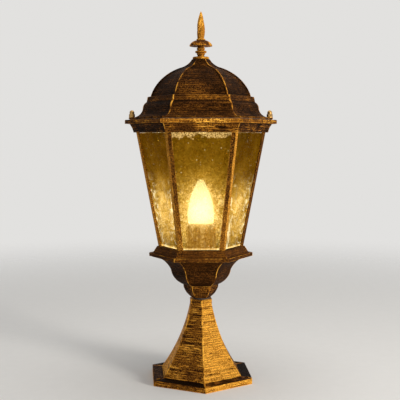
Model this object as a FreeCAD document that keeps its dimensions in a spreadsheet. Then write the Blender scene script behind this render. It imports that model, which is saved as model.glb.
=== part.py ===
"""Six-sided pier lantern: hollow cast pedestal, swivelling head with a glazed cage, lift-off roof.

Millimetres. The origin is the middle of the plinth's underside, +Z is up and the front is -Y.
Six-sided castings are wall sections carried round a hexagon with mitred corners, so their widths are
given as half the width across flats.
"""
import FreeCAD, Part
import math
import os

import Sketcher

Vector = FreeCAD.Vector
SIDES = 6
SIXTH = 360 / SIDES
STUDS = 2
ANCHORS = 3

doc = FreeCAD.newDocument("pier_lantern")

# Driving sizes
SIZES = {
    # pedestal
    "plinth_half": 65.0,
    "plinth_thick": 8.0,
    "edge_round": 1.0,
    "plinth_margin": 13.2,
    "column_height": 93.0,
    "column_sweep": 258.0,
    "column_half": 14.2,
    "column_head": 7.3,
    "pedestal_wall": 3.5,
    "pedestal_cap": 6.0,
    "foot_turn": 34.0,
    "anchor_radius": 66.5,
    "anchor_hole_radius": 3.25,
    # clamping tube with its nuts and washers
    "tube_radius": 5.0,
    "tube_bore_radius": 3.5,
    "tube_tail": 6.0,
    "cast_clearance": 0.25,
    "thread_clearance": 0.05,
    "locknut_half": 6.5,
    "locknut_thick": 4.5,
    "washer_radius": 9.5,
    "washer_thick": 1.5,
    "tag_thick": 0.8,
    "seal_radius": 10.4,
    "seal_thick": 1.7,
    # neck collar
    "collar_foot_half": 10.7,
    "collar_swell": 26.0,
    "collar_shoulder_half": 20.1,
    "collar_shoulder_height": 14.0,
    "collar_top_half": 20.6,
    "collar_height": 18.0,
    # pan
    "bowl_foot_half": 21.5,
    "bowl_swell": 25.0,
    "bowl_waist_half": 34.9,
    "bowl_waist_height": 19.5,
    "cove_sweep": 33.0,
    "cove_set": 10.2,
    "cove_height": 17.0,
    "pan_rim_overhang": 4.3,
    "pan_rim_drip": 1.7,
    "pan_rim_thick": 4.6,
    "sill_margin": 1.6,
    "sill_run": 4.9,
    "sill_height": 8.7,
    "pan_wall": 3.0,
    "pan_floor": 4.0,
    "upstand_thick": 2.4,
    "upstand_height": 3.0,
    # glass cage
    "cage_foot_half": 49.4,
    "cage_top_half": 74.5,
    "cage_height": 152.0,
    "bar_face": 5.6,
    "bar_depth": 2.2,
    "spigot_radius": 1.3,
    "spigot_length": 2.4,
    "spigot_inset": 2.4,
    "glass_thick": 2.5,
    "glass_gap": 0.3,
    "clip_thick": 0.8,
    "clip_width": 12.0,
    "clip_drop": 12.0,
    "clip_seat": 6.8,
    "clip_screw_inset": 3.2,
    "clip_screw_radius": 1.5,
    "clip_head_radius": 2.6,
    "clip_head_thick": 1.8,
    # cage ring
    "lip_reach": 13.5,
    "cornice_margin": 3.1,
    "cornice_sweep": 25.0,
    "cornice_run": 4.4,
    "cornice_height": 11.0,
    "rim_overhang": 5.5,
    "rim_drip": 0.5,
    "rim_thick": 5.2,
    "flange_width": 17.5,
    "ring_wall": 3.0,
    # roof
    "gasket_thick": 1.0,
    "gasket_inset": 1.0,
    "roof_flange_set": 4.5,
    "roof_flange_thick": 2.0,
    "roof_wall": 2.5,
    "ogee_foot_set": 4.0,
    "ogee_cove": 13.0,
    "ogee_cove_run": 12.3,
    "ogee_cove_height": 12.2,
    "ogee_bulge": 10.0,
    "ogee_bulge_height": 8.2,
    "ogee_bulge_run": 4.4,
    "band_batter": 1.1,
    "band_height": 6.7,
    "dome_foot_set": 5.0,
    "dome_ledge": 1.2,
    "dome_swell": 55.0,
    "dome_height": 37.3,
    "dome_top_half": 20.4,
    "neck_sweep": 23.0,
    "neck_height": 11.0,
    "neck_half": 10.2,
    "crown_thick": 4.0,
    "ridge_width": 3.0,
    "ridge_height": 1.1,
    # roof studs and their cap nuts
    "stud_inset": 3.76,
    "stud_radius": 2.0,
    "stud_reach": 6.5,
    "stud_clearance": 0.3,
    "nut_clearance": 0.1,
    "spot_margin": 0.4,
    "captive_radius": 3.9,
    "captive_thick": 1.0,
    "acorn_half": 3.5,
    "acorn_hex": 3.4,
    "acorn_height": 8.6,
    "acorn_dome_radius": 3.2,
    # finial
    "bead_fullness": 0.35,
    "finial_collar_radius": 11.0,
    "finial_collar_height": 3.0,
    "finial_neck_radius": 4.6,
    "finial_neck_height": 2.7,
    "finial_bead_radius": 5.6,
    "finial_bead_height": 2.5,
    "finial_knob_radius": 7.6,
    "finial_knob_height": 2.8,
    "finial_waist_height": 1.3,
    "finial_stem_height": 2.3,
    "finial_disc_radius": 15.0,
    "finial_disc_edge": 1.4,
    "finial_disc_height": 7.6,
    "finial_disc_swell": 12.5,
    "finial_cup_radius": 5.4,
    "finial_ring_radius": 5.9,
    "finial_ring_height": 2.0,
    "flame_radius": 5.3,
    "flame_height": 35.4,
    "flame_twist": 110.0,
    "finial_stud_radius": 3.0,
    "finial_stud_grip": 10.0,
    "finial_stud_tail": 8.0,
    "finial_nut_half": 5.0,
    "finial_nut_thick": 4.0,
    "finial_washer_radius": 6.2,
    "finial_washer_thick": 1.2,
    # lampholder
    "holder_stand": 18.0,
    "holder_radius": 20.0,
    "holder_wall": 1.8,
    "holder_cap_height": 22.0,
    "holder_shell_height": 39.0,
    "holder_foot_radius": 9.5,
    "holder_shoulder_height": 14.0,
    "holder_boss_height": 10.0,
    "holder_seat_depth": 7.5,
    "insert_radius": 17.0,
    "insert_thick": 4.0,
    "screw_shell_radius": 13.35,
    "screw_shell_wall": 0.5,
    "screw_shell_height": 27.0,
    "screw_shell_eye": 9.0,
    "contact_radius": 4.0,
    "contact_height": 1.0,
    "contact_gap": 0.3,
    # lamp
    "lamp_length": 99.0,
    "lamp_radius": 17.5,
    "lamp_wall": 0.9,
    "lamp_neck_radius": 12.2,
    "lamp_belly_height": 50.0,
    "lamp_tip_height": 5.0,
    "lamp_tip_radius": 5.6,
    "lamp_cap_radius": 13.05,
    "lamp_cap_height": 26.0,
    "lamp_cap_foot": 6.0,
    "lamp_cap_wall": 0.5,
    "lamp_eyelet_radius": 4.6,
    "lamp_eyelet_height": 1.4,
    "lamp_foot_radius": 11.4,
    "lamp_foot_bevel": 2.0,
    # wiring
    "lead_radius": 1.2,
    "lead_offset": 1.9,
    "lead_bend_height": 20.0,
    "earth_offset": 8.1,
    "block_drop": 30.0,
    "block_length": 27.0,
    "block_depth": 13.0,
    "block_height": 17.0,
    "pole_pitch": 8.5,
    "pole_row": 4.5,
    "entry_radius": 1.75,
    "entry_depth": 7.0,
    "terminal_screw_radius": 1.6,
    "terminal_well_depth": 4.0,
    "terminal_screw_sunk": 1.0,
}

# Heights stacked from the plinth up, and what follows from the driving sizes
PLACES = {
    # pedestal
    "core_half": "=sizes.tube_bore_radius / 2",
    "tube_hole_radius": "=sizes.tube_radius + sizes.cast_clearance",
    "foot_half": "=sizes.plinth_half - sizes.plinth_margin",
    "plinth_edge_half": "=sizes.plinth_half - sizes.edge_round",
    "plinth_edge_z": "=sizes.plinth_thick - sizes.edge_round",
    "column_neck_z": "=sizes.plinth_thick + sizes.column_height",
    "column_top_z": "=column_neck_z + sizes.column_head",
    "cap_under_z": "=column_top_z - sizes.pedestal_cap",
    "bore_half": "=sizes.column_half - sizes.pedestal_wall",
    "bore_neck_z": "=cap_under_z - sizes.pedestal_wall",
    "bore_sweep": "=sizes.column_sweep + sizes.pedestal_wall",
    "bore_foot_half": "=foot_half - sizes.pedestal_wall",
    "bore_foot_z": "=sizes.plinth_thick - sizes.pedestal_wall",
    "anchor_left": "=-sizes.anchor_radius",
    # clamping tube
    "lower_washer_z": "=cap_under_z - sizes.washer_thick",
    "tag_z": "=lower_washer_z - sizes.tag_thick",
    "lower_nut_z": "=tag_z - sizes.locknut_thick",
    "tube_foot_z": "=lower_nut_z - sizes.tube_tail",
    "seal_top_z": "=column_top_z + sizes.seal_thick",
    "collar_shoulder_z": "=seal_top_z + sizes.collar_shoulder_height",
    "pan_z": "=seal_top_z + sizes.collar_height",
    "pan_floor_z": "=pan_z + sizes.pan_floor",
    "upper_nut_z": "=pan_floor_z + sizes.washer_thick",
    "thread_radius": "=sizes.tube_radius + sizes.thread_clearance",
    # pan
    "sill_half": "=sizes.cage_foot_half + sizes.sill_margin",
    "sill_foot_half": "=sill_half + sizes.sill_run",
    "pan_rim_half": "=sill_foot_half + sizes.pan_rim_overhang",
    "cove_half": "=pan_rim_half - sizes.cove_set",
    "bowl_waist_z": "=pan_z + sizes.bowl_waist_height",
    "cove_z": "=bowl_waist_z + sizes.cove_height",
    "pan_rim_z": "=cove_z + sizes.pan_rim_drip",
    "pan_rim_top_z": "=pan_rim_z + sizes.pan_rim_thick",
    "sill_z": "=pan_rim_top_z + sizes.sill_height",
    "upstand_z": "=sill_z + sizes.upstand_height",
    "ledge_under_z": "=sill_z - sizes.pan_wall",
    "sill_inner_half": "=sill_half - sizes.pan_wall",
    "cove_inner_z": "=cove_z + sizes.pan_wall",
    "cove_inner_sweep": "=sizes.cove_sweep + sizes.pan_wall",
    "waist_inner_half": "=sizes.bowl_waist_half - sizes.pan_wall",
    "bowl_inner_swell": "=sizes.bowl_swell - sizes.pan_wall",
    "floor_half": "=sizes.bowl_foot_half - sizes.pan_wall",
    # glass cage
    "ring_z": "=sill_z + sizes.cage_height",
    "lean": "=atan((sizes.cage_top_half - sizes.cage_foot_half) / sizes.cage_height)",
    "slant": "=sizes.cage_height / cos(lean)",
    "bar_foot_corner": "=sizes.cage_foot_half / cos(30 deg)",
    "bar_spread": "=(sizes.cage_top_half - sizes.cage_foot_half) / cos(30 deg)",
    "bar_wing_x": "=bar_foot_corner - sizes.bar_face * sin(30 deg)",
    "bar_wing_y": "=sizes.bar_face * cos(30 deg)",
    "bar_wing_left_y": "=-bar_wing_y",
    "bar_back_x": "=bar_wing_x - sizes.bar_depth * cos(30 deg)",
    "bar_back_y": "=bar_wing_y - sizes.bar_depth * sin(30 deg)",
    "bar_back_left_y": "=-bar_back_y",
    "bar_inner_x": "=bar_foot_corner - sizes.bar_depth / cos(30 deg)",
    "spigot_foot_x": "=bar_foot_corner - sizes.spigot_inset",
    "spigot_top_x": "=bar_foot_corner + bar_spread - sizes.spigot_inset",
    "spigot_hole_radius": "=sizes.spigot_radius + sizes.thread_clearance",
    "spigot_hole_depth": "=sizes.spigot_length + sizes.glass_gap",
    "spigot_hole_top_z": "=ring_z + spigot_hole_depth",
    "glass_foot_half": "=sizes.cage_foot_half - (sizes.bar_depth + sizes.glass_gap) / cos(lean)",
    "glass_top_half": "=sizes.cage_top_half - (sizes.bar_depth + sizes.glass_gap) / cos(lean)",
    "glass_setback": "=sizes.glass_thick * tan(30 deg) + sizes.glass_gap",
    "glass_foot_width": "=glass_foot_half * tan(30 deg) - glass_setback",
    "glass_foot_left": "=-glass_foot_width",
    "glass_top_width": "=glass_top_half * tan(30 deg) - glass_setback",
    "glass_top_left": "=-glass_top_width",
    "glass_low": "=sizes.glass_gap + sizes.glass_thick * tan(lean)",
    "glass_high": "=slant - glass_low",
    "glass_inner_foot_half": "=glass_foot_half - sizes.glass_thick / cos(lean)",
    "glass_inner_top_half": "=glass_top_half - sizes.glass_thick / cos(lean)",
    "upstand_half": "=glass_inner_foot_half - sizes.glass_gap",
    "mouth_half": "=upstand_half - sizes.upstand_thick",
    "clip_corner_half": "=glass_inner_top_half - sizes.thread_clearance",
    "clip_foot_z": "=ring_z - sizes.clip_drop",
    "clip_foot_half": "=clip_corner_half - sizes.clip_drop * tan(lean)",
    "clip_foot_inner_half": "=clip_foot_half - sizes.clip_thick",
    "clip_inner_half": "=clip_corner_half - sizes.clip_thick",
    "clip_under_z": "=ring_z - sizes.clip_thick",
    "clip_end_half": "=clip_corner_half - sizes.clip_seat",
    "clip_screw_half": "=clip_end_half + sizes.clip_screw_inset",
    "clip_hole_radius": "=sizes.clip_screw_radius + sizes.thread_clearance",
    "clip_screw_length": "=sizes.clip_thick + sizes.ring_wall",
    "clip_head_z": "=clip_under_z - sizes.clip_head_thick",
    # cage ring
    "lip_half": "=sizes.cage_top_half - sizes.lip_reach",
    "cornice_foot_half": "=sizes.cage_top_half + sizes.cornice_margin",
    "cornice_head_half": "=cornice_foot_half + sizes.cornice_run",
    "rim_half": "=cornice_head_half + sizes.rim_overhang",
    "flange_mouth_half": "=rim_half - sizes.flange_width",
    "lip_top_z": "=ring_z + sizes.ring_wall",
    "cornice_head_z": "=ring_z + sizes.cornice_height",
    "rim_z": "=cornice_head_z + sizes.rim_drip",
    "ring_top_z": "=rim_z + sizes.rim_thick",
    "rim_edge_z": "=ring_top_z - sizes.edge_round",
    "rim_edge_half": "=rim_half - sizes.edge_round",
    "flange_under_z": "=ring_top_z - sizes.ring_wall",
    "cornice_inner_head": "=cornice_head_half - sizes.ring_wall",
    "cornice_inner_foot": "=cornice_foot_half - sizes.ring_wall",
    # roof
    "roof_flange_half": "=rim_half - sizes.roof_flange_set",
    "ogee_foot_half": "=roof_flange_half - sizes.ogee_foot_set",
    "ogee_waist_half": "=ogee_foot_half - sizes.ogee_cove_run",
    "band_foot_half": "=ogee_waist_half - sizes.ogee_bulge_run",
    "band_top_half": "=band_foot_half - sizes.band_batter",
    "dome_foot_half": "=band_top_half - sizes.dome_foot_set",
    "roof_z": "=ring_top_z + sizes.gasket_thick",
    "gasket_half": "=roof_flange_half - sizes.gasket_inset",
    "ogee_inner_foot": "=ogee_foot_half - sizes.roof_wall",
    "roof_flange_z": "=roof_z + sizes.roof_flange_thick",
    "ogee_waist_z": "=roof_flange_z + sizes.ogee_cove_height",
    "band_z": "=ogee_waist_z + sizes.ogee_bulge_height",
    "band_top_z": "=band_z + sizes.band_height",
    "dome_z": "=band_top_z + sizes.dome_ledge",
    "dome_top_z": "=dome_z + sizes.dome_height",
    "roof_top_z": "=dome_top_z + sizes.neck_height",
    "roof_rise": "=roof_top_z - roof_z",
    "crown_under_z": "=roof_top_z - sizes.crown_thick",
    "neck_inner_half": "=sizes.neck_half - sizes.roof_wall",
    "neck_inner_sweep": "=sizes.neck_sweep + sizes.roof_wall",
    "dome_inner_top_z": "=dome_top_z - sizes.roof_wall",
    "dome_inner_swell": "=sizes.dome_swell - sizes.roof_wall",
    "dome_inner_foot": "=dome_foot_half - sizes.roof_wall",
    "band_inner_top": "=band_top_half - sizes.roof_wall",
    "band_inner_top_z": "=band_top_z - sizes.roof_wall",
    "band_inner_foot": "=band_foot_half - sizes.roof_wall",
    "ogee_inner_waist": "=ogee_waist_half - sizes.roof_wall",
    "ogee_inner_cove": "=sizes.ogee_cove + sizes.roof_wall",
    # roof ridges, rooted in the middle of the wall
    "root": "=sizes.roof_wall / 2",
    "ridge_dome_foot": "=dome_foot_half + sizes.ridge_height",
    "ridge_dome_z": "=dome_z + sizes.ridge_height",
    "ridge_dome_swell": "=sizes.dome_swell + sizes.ridge_height",
    "ridge_dome_top_z": "=dome_top_z + sizes.ridge_height",
    "root_dome_top_z": "=dome_top_z - root",
    "root_dome_swell": "=sizes.dome_swell - root",
    "root_dome_foot": "=dome_foot_half - root",
    "ridge_neck_sweep": "=sizes.neck_sweep - sizes.ridge_height",
    "root_neck": "=sizes.neck_half - root",
    "root_neck_sweep": "=sizes.neck_sweep + root",
    "sector_x": "=sizes.ridge_width * cos(30 deg)",
    "sector_y": "=sizes.ridge_width * sin(30 deg)",
    "sector_reach": "=2 * roof_flange_half",
    "sector_far_x": "=sector_x + sector_reach",
    "sector_tip_x": "=sector_x + sector_reach * cos(60 deg)",
    "sector_tip_y": "=sector_y + sector_reach * sin(60 deg)",
    # roof studs and cap nuts
    "stud_place": "=(roof_flange_half - sizes.stud_inset) / cos(30 deg)",
    "stud_hole_radius": "=sizes.stud_radius + sizes.stud_clearance",
    "stud_fit_radius": "=sizes.stud_radius + sizes.nut_clearance",
    "captive_z": "=roof_flange_z + sizes.captive_thick",
    "stud_length": "=captive_z + sizes.stud_reach - flange_under_z",
    "spot_radius": "=sizes.captive_radius + sizes.spot_margin",
    "spot_depth": "=sizes.ogee_cove_height",
    "acorn_hex_z": "=captive_z + sizes.acorn_hex",
    "acorn_top_z": "=captive_z + sizes.acorn_height",
    "acorn_spring_z": "=acorn_top_z - sizes.acorn_dome_radius",
    "acorn_bore_z": "=captive_z + sizes.stud_reach + sizes.stud_clearance",
    # finial
    "finial_neck_z": "=roof_top_z + sizes.finial_collar_height",
    "finial_bead_z": "=finial_neck_z + sizes.finial_neck_height",
    "finial_knob_z": "=finial_bead_z + sizes.finial_bead_height",
    "finial_waist_z": "=finial_knob_z + sizes.finial_knob_height",
    "finial_upper_bead_z": "=finial_waist_z + sizes.finial_waist_height",
    "finial_stem_z": "=finial_upper_bead_z + sizes.finial_bead_height",
    "finial_disc_z": "=finial_stem_z + sizes.finial_stem_height",
    "finial_disc_edge_z": "=finial_disc_z + sizes.finial_disc_edge",
    "finial_ring_z": "=finial_disc_z + sizes.finial_disc_height",
    "flame_z": "=finial_ring_z + sizes.finial_ring_height",
    "finial_stud_hole": "=sizes.finial_stud_radius + sizes.thread_clearance",
    "finial_hole_top_z": "=roof_top_z + sizes.finial_stud_grip + sizes.thread_clearance",
    "finial_stud_length": "=sizes.finial_stud_grip + sizes.crown_thick + sizes.finial_stud_tail",
    "crown_hole_radius": "=sizes.finial_stud_radius + sizes.cast_clearance",
    "finial_washer_z": "=crown_under_z - sizes.finial_washer_thick",
    "finial_nut_z": "=finial_washer_z - sizes.finial_nut_thick",
    "finial_stud_foot_z": "=crown_under_z - sizes.finial_stud_tail",
    # lampholder
    "holder_z": "=pan_floor_z + sizes.holder_stand",
    "holder_boss_z": "=holder_z + sizes.holder_boss_height",
    "holder_shoulder_z": "=holder_z + sizes.holder_shoulder_height",
    "holder_flare": "=sizes.holder_radius - sizes.holder_foot_radius",
    "holder_swell": "=(sizes.holder_shoulder_height ^ 2 + holder_flare ^ 2) / (2 * holder_flare)",
    "holder_cap_z": "=holder_z + sizes.holder_cap_height",
    "holder_bore_radius": "=sizes.holder_radius - sizes.holder_wall",
    "holder_boss_radius": "=sizes.holder_foot_radius - sizes.holder_wall",
    "holder_well_radius": "=sizes.insert_radius - sizes.holder_wall",
    "holder_well_z": "=holder_z + 2 * sizes.holder_wall",
    "insert_z": "=holder_cap_z - sizes.holder_seat_depth",
    "insert_top_z": "=insert_z + sizes.insert_thick",
    "insert_fit_radius": "=sizes.insert_radius + sizes.cast_clearance",
    "tube_length": "=holder_boss_z - tube_foot_z",
    "screw_shell_outer": "=sizes.screw_shell_radius + sizes.screw_shell_wall",
    "screw_shell_base_z": "=insert_top_z + sizes.screw_shell_wall",
    "screw_shell_top_z": "=insert_top_z + sizes.screw_shell_height",
    "contact_top_z": "=insert_top_z + sizes.contact_height",
    "contact_dome": "=(sizes.contact_radius ^ 2 + sizes.contact_height ^ 2) / (2 * sizes.contact_height)",
    # lamp
    "lamp_z": "=contact_top_z + sizes.contact_gap",
    "lamp_insulator_z": "=lamp_z + sizes.lamp_eyelet_height",
    "lamp_cap_z": "=lamp_z + sizes.lamp_cap_foot",
    "lamp_cap_top_z": "=lamp_z + sizes.lamp_cap_height",
    "lamp_cap_bore": "=sizes.lamp_cap_radius - sizes.lamp_cap_wall",
    "lamp_cap_sole_z": "=lamp_cap_z + sizes.lamp_cap_wall",
    "lamp_neck_inner": "=sizes.lamp_neck_radius - sizes.lamp_wall",
    "lamp_belly_z": "=lamp_z + sizes.lamp_belly_height",
    "lamp_belly_inner": "=sizes.lamp_radius - sizes.lamp_wall",
    "lamp_top_z": "=lamp_z + sizes.lamp_length",
    "lamp_tip_z": "=lamp_top_z - sizes.lamp_tip_height",
    "lamp_tip_inner": "=sizes.lamp_tip_radius - sizes.lamp_wall",
    "lamp_top_inner_z": "=lamp_top_z - sizes.lamp_wall",
    "lamp_tip_square": "=sizes.lamp_tip_radius ^ 2 + sizes.lamp_tip_height ^ 2",
    "lamp_tip_sweep": "=lamp_tip_square / (2 * sizes.lamp_tip_height)",
    "lamp_tip_rise": "=sizes.lamp_tip_height - sizes.lamp_wall",
    "lamp_tip_inner_sweep": "=(lamp_tip_inner ^ 2 + lamp_tip_rise ^ 2) / (2 * lamp_tip_rise)",
    "lamp_shoulder_rise": "=lamp_belly_z - lamp_cap_top_z",
    "lamp_shoulder_run": "=sizes.lamp_radius - sizes.lamp_neck_radius",
    "lamp_shoulder": "=(lamp_shoulder_rise ^ 2 + lamp_shoulder_run ^ 2) / (2 * lamp_shoulder_run)",
    "lamp_inner_shoulder": "=lamp_shoulder - sizes.lamp_wall",
    "lamp_flank_rise": "=lamp_tip_z - lamp_belly_z",
    "lamp_flank_run": "=sizes.lamp_radius - sizes.lamp_tip_radius",
    "lamp_flank": "=(lamp_flank_rise ^ 2 + lamp_flank_run ^ 2) / (2 * lamp_flank_run)",
    "lamp_inner_flank": "=lamp_flank - sizes.lamp_wall",
    "lamp_bevel_z": "=lamp_cap_z + sizes.lamp_foot_bevel",
    "lamp_neck_foot_z": "=lamp_bevel_z + sizes.lamp_cap_wall",
    "lamp_foot_inner": "=sizes.lamp_foot_radius - sizes.lamp_cap_wall",
    # wiring
    "block_top_z": "=tube_foot_z - sizes.block_drop",
    "block_z": "=block_top_z - sizes.block_height",
    "entry_top_z": "=block_z + sizes.entry_depth",
    "block_half_length": "=sizes.block_length / 2",
    "block_half_depth": "=sizes.block_depth / 2",
    "block_left": "=-block_half_length",
    "block_front": "=-block_half_depth",
    "lead_bend_z": "=block_top_z + (sizes.block_drop - sizes.lead_bend_height) / 2",
    "lead_bend_top_z": "=lead_bend_z + sizes.lead_bend_height",
    "lead_bend_mid_z": "=lead_bend_z + sizes.lead_bend_height / 2",
    "lead_swing": "=sizes.pole_pitch - sizes.lead_offset",
    "lead_mid": "=(sizes.pole_pitch + sizes.lead_offset) / 2",
    "lead_bend": "=(sizes.lead_bend_height ^ 2 + lead_swing ^ 2) / (4 * lead_swing)",
    "earth_mid": "=sizes.earth_offset / 2",
    "earth_bend": "=(sizes.lead_bend_height ^ 2 + sizes.earth_offset ^ 2) / (4 * sizes.earth_offset)",
    "pole_left": "=-sizes.pole_pitch",
    "terminal_low_z": "=block_z + sizes.pole_row",
    "terminal_high_z": "=block_top_z - sizes.pole_row",
    "terminal_well_radius": "=sizes.terminal_screw_radius + sizes.thread_clearance",
    "terminal_screw_length": "=sizes.terminal_well_depth - sizes.terminal_screw_sunk",
    "terminal_screw_face": "=block_half_depth - sizes.terminal_screw_sunk",
}

# Rounded edges of the finial's turned beads
for bead in ("collar", "bead", "knob", "ring"):
    height = f"sizes.finial_{bead}_height"
    sag = f"finial_{bead}_sag"
    PLACES[sag] = f"=sizes.bead_fullness * {height}"
    PLACES[f"finial_{bead}_edge"] = f"=sizes.finial_{bead}_radius - {sag}"
    PLACES[f"finial_{bead}_curl"] = f"=({height} ^ 2 / 4 + {sag} ^ 2) / (2 * {sag})"

# Twisted flame: lobes and levels, depth of the valleys, and the stretch of the sine that it swells by
FLAME_LOBES = 5
FLAME_LEVELS = 8
FLAME_VALLEY_RATIO = 0.8
FLAME_START_RATIO = 0.3
FLAME_TIP_RATIO = 0.98
FLAME_FULLNESS_POWER = 0.8

sizes = doc.addObject("Spreadsheet::Sheet", "sizes")
for row, (name, number) in enumerate(SIZES.items(), start=1):
    sizes.set(f"A{row}", name)
    sizes.set(f"B{row}", str(number))
    sizes.setAlias(f"B{row}", name)
doc.recompute()

places = doc.addObject("Spreadsheet::Sheet", "places")
for row, (name, formula) in enumerate(PLACES.items(), start=1):
    places.set(f"A{row}", name)
    places.setAlias(f"B{row}", name)
    places.set(f"B{row}", formula)
doc.recompute()


def ref(name):
    """Full name of a sheet value, for expressions."""
    return f"sizes.{name}" if name in SIZES else f"places.{name}"


def value(name):
    """Number now held by a sheet value."""
    number = sizes.get(name) if name in SIZES else places.get(name)
    return float(getattr(number, "Value", number))


def new_body(name, turn=0.0):
    """Empty body with its own label, turned about the lantern's axis."""
    body = doc.addObject("PartDesign::Body", name)
    body.Label = name
    body.Placement = FreeCAD.Placement(Vector(0, 0, 0), FreeCAD.Rotation(Vector(0, 0, 1), turn))
    return body


def origin_item(body, role):
    """Plane or axis of a body's own origin."""
    return next(item for item in body.Origin.OriginFeatures if item.Role == role)


def new_sketch(body, role="XY_Plane", lift=None):
    """Sketch on a body's origin plane, lifted along the plane's normal by a named height."""
    sketch = body.newObject("Sketcher::SketchObject", "sketch")
    sketch.AttachmentSupport = [(origin_item(body, role), "")]
    sketch.MapMode = "FlatFace"
    if lift:
        sketch.setExpression("AttachmentOffset.Base.z", ref(lift))
    return sketch


def bind(sketch, kind, name, *picks):
    """Dimension of a sketch that takes its size from a sheet value."""
    index = sketch.addConstraint(Sketcher.Constraint(kind, *picks, value(name)))
    sketch.setExpression(f"Constraints[{index}]", ref(name))


def pin(sketch, geometry, end, across, up):
    """Hold a point at two named distances from the sketch's origin, or on an axis where None."""
    if across is None:
        sketch.addConstraint(Sketcher.Constraint("PointOnObject", geometry, end, -2))
    else:
        bind(sketch, "DistanceX", across, -1, 1, geometry, end)
    if up is None:
        sketch.addConstraint(Sketcher.Constraint("PointOnObject", geometry, end, -1))
    else:
        bind(sketch, "DistanceY", up, -1, 1, geometry, end)


def spot(across, up):
    """Point at two named distances."""
    return Vector(value(across) if across else 0, value(up) if up else 0, 0)


def arc_between(start, end, radius, bow):
    """Arc shorter than a half circle, bowing to the left (+1) or right (-1) of the way along."""
    chord = end - start
    sag = radius - math.sqrt(radius ** 2 - chord.Length ** 2 / 4)
    left = Vector(-chord.y, chord.x, 0).normalize()
    return Part.Arc(start, (start + end) / 2 + left * (bow * sag), end)


def outline(sketch, corners, closed=True):
    """Chain of lines and arcs through named corners.

    A corner is (across, up), or (across, up, radius, bow) where the stretch to the next corner is an arc.
    """
    spots = [spot(corner[0], corner[1]) for corner in corners]
    count = len(corners) if closed else len(corners) - 1
    ends = []
    for number in range(count):
        start = spots[number]
        end = spots[(number + 1) % len(spots)]
        corner = corners[number]
        if len(corner) == 2:
            geometry = sketch.addGeometry(Part.LineSegment(start, end))
        else:
            geometry = sketch.addGeometry(arc_between(start, end, value(corner[2]), corner[3]))
            bind(sketch, "Radius", corner[2], geometry)
        forward = sketch.getPoint(geometry, 1).distanceToPoint(start) < sketch.getPoint(
            geometry, 1).distanceToPoint(end)
        ends.append((geometry, 1, 2) if forward else (geometry, 2, 1))
    for number, (geometry, first, last) in enumerate(ends):
        pin(sketch, geometry, first, corners[number][0], corners[number][1])
        if closed or number < count - 1:
            follower, follower_first, _ = ends[(number + 1) % count]
            sketch.addConstraint(Sketcher.Constraint("Coincident", geometry, last, follower, follower_first))
        else:
            pin(sketch, geometry, last, corners[-1][0], corners[-1][1])
    return ends


def circle(sketch, radius, across=None, up=None):
    """Circle of a named radius about a named point."""
    ring = Part.Circle(spot(across, up), Vector(0, 0, 1), value(radius))
    geometry = sketch.addGeometry(ring)
    bind(sketch, "Radius", radius, geometry)
    if across is None and up is None:
        sketch.addConstraint(Sketcher.Constraint("Coincident", geometry, 3, -1, 1))
    else:
        pin(sketch, geometry, 3, across, up)


def hexagon(sketch, half, start_in_edge=False):
    """Hexagon of a named half width across flats, with flats to +Y and -Y.

    A path for a mitred sweep starts in the middle of its back edge instead of at a corner.
    """
    reach = value(half) / math.cos(math.radians(30))
    points = []
    for number in range(SIDES):
        turn = math.radians(SIXTH * (1 - number))
        points.append(Vector(reach * math.cos(turn), reach * math.sin(turn), 0))
    if start_in_edge:
        points.insert(0, Vector(0, value(half), 0))
    lines = []
    for number, point in enumerate(points):
        lines.append(sketch.addGeometry(Part.LineSegment(point, points[(number + 1) % len(points)])))
    for number, line in enumerate(lines):
        follower = lines[(number + 1) % len(lines)]
        sketch.addConstraint(Sketcher.Constraint("Coincident", line, 2, follower, 1))
    rim = sketch.addGeometry(Part.Circle(Vector(0, 0, 0), Vector(0, 0, 1), reach), True)
    sketch.addConstraint(Sketcher.Constraint("Coincident", rim, 3, -1, 1))
    index = sketch.addConstraint(Sketcher.Constraint("Radius", rim, reach))
    sketch.setExpression(f"Constraints[{index}]", f"{ref(half)} / cos(30 deg)")
    sides = lines[1:-1] if start_in_edge else lines[:-1]
    for line in sides:
        sketch.addConstraint(Sketcher.Constraint("PointOnObject", line, 1, rim))
    sketch.addConstraint(Sketcher.Constraint("PointOnObject", sides[-1], 2, rim))
    for line in sides[1:]:
        sketch.addConstraint(Sketcher.Constraint("Equal", sides[0], line))
    sketch.addConstraint(Sketcher.Constraint("PointOnObject", sides[0], 2, -1))
    sketch.addConstraint(Sketcher.Constraint("Horizontal", lines[-1]))
    if start_in_edge:
        sketch.addConstraint(Sketcher.Constraint("Horizontal", lines[0]))
        sketch.addConstraint(Sketcher.Constraint("PointOnObject", lines[0], 1, -2))


def mitred(body, path_half, corners):
    """Wall section carried round a hexagon with mitred corners."""
    path = new_sketch(body)
    hexagon(path, path_half, start_in_edge=True)
    section = new_sketch(body, "YZ_Plane")
    outline(section, corners)
    doc.recompute()
    sweep = body.newObject("PartDesign::AdditivePipe", "sweep")
    sweep.Profile = section
    sweep.Spine = (path, [f"Edge{number}" for number in range(1, SIDES + 2)])
    sweep.Transition = "Right corner"
    doc.recompute()
    return sweep


def pad(body, sketch, length, up=True):
    """Prism on a sketch, of a named length, along its normal or against it."""
    prism = body.newObject("PartDesign::Pad", "pad")
    prism.Profile = sketch
    prism.setExpression("Length", ref(length))
    prism.Reversed = not up
    doc.recompute()
    return prism


def cut(body, sketch, depth):
    """Pocket of a named depth against the sketch's normal; it has to take material away."""
    before = body.Shape.Volume
    pocket = body.newObject("PartDesign::Pocket", "pocket")
    pocket.Profile = sketch
    pocket.setExpression("Length", ref(depth))
    doc.recompute()
    if not body.Shape.Volume < before:
        raise RuntimeError(f"a pocket of {body.Label} cuts nothing")
    return pocket


def drill(body, radius, top, depth, across=None, up=None):
    """Round hole from a named height down."""
    sketch = new_sketch(body, lift=top)
    circle(sketch, radius, across, up)
    return cut(body, sketch, depth)


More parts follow.
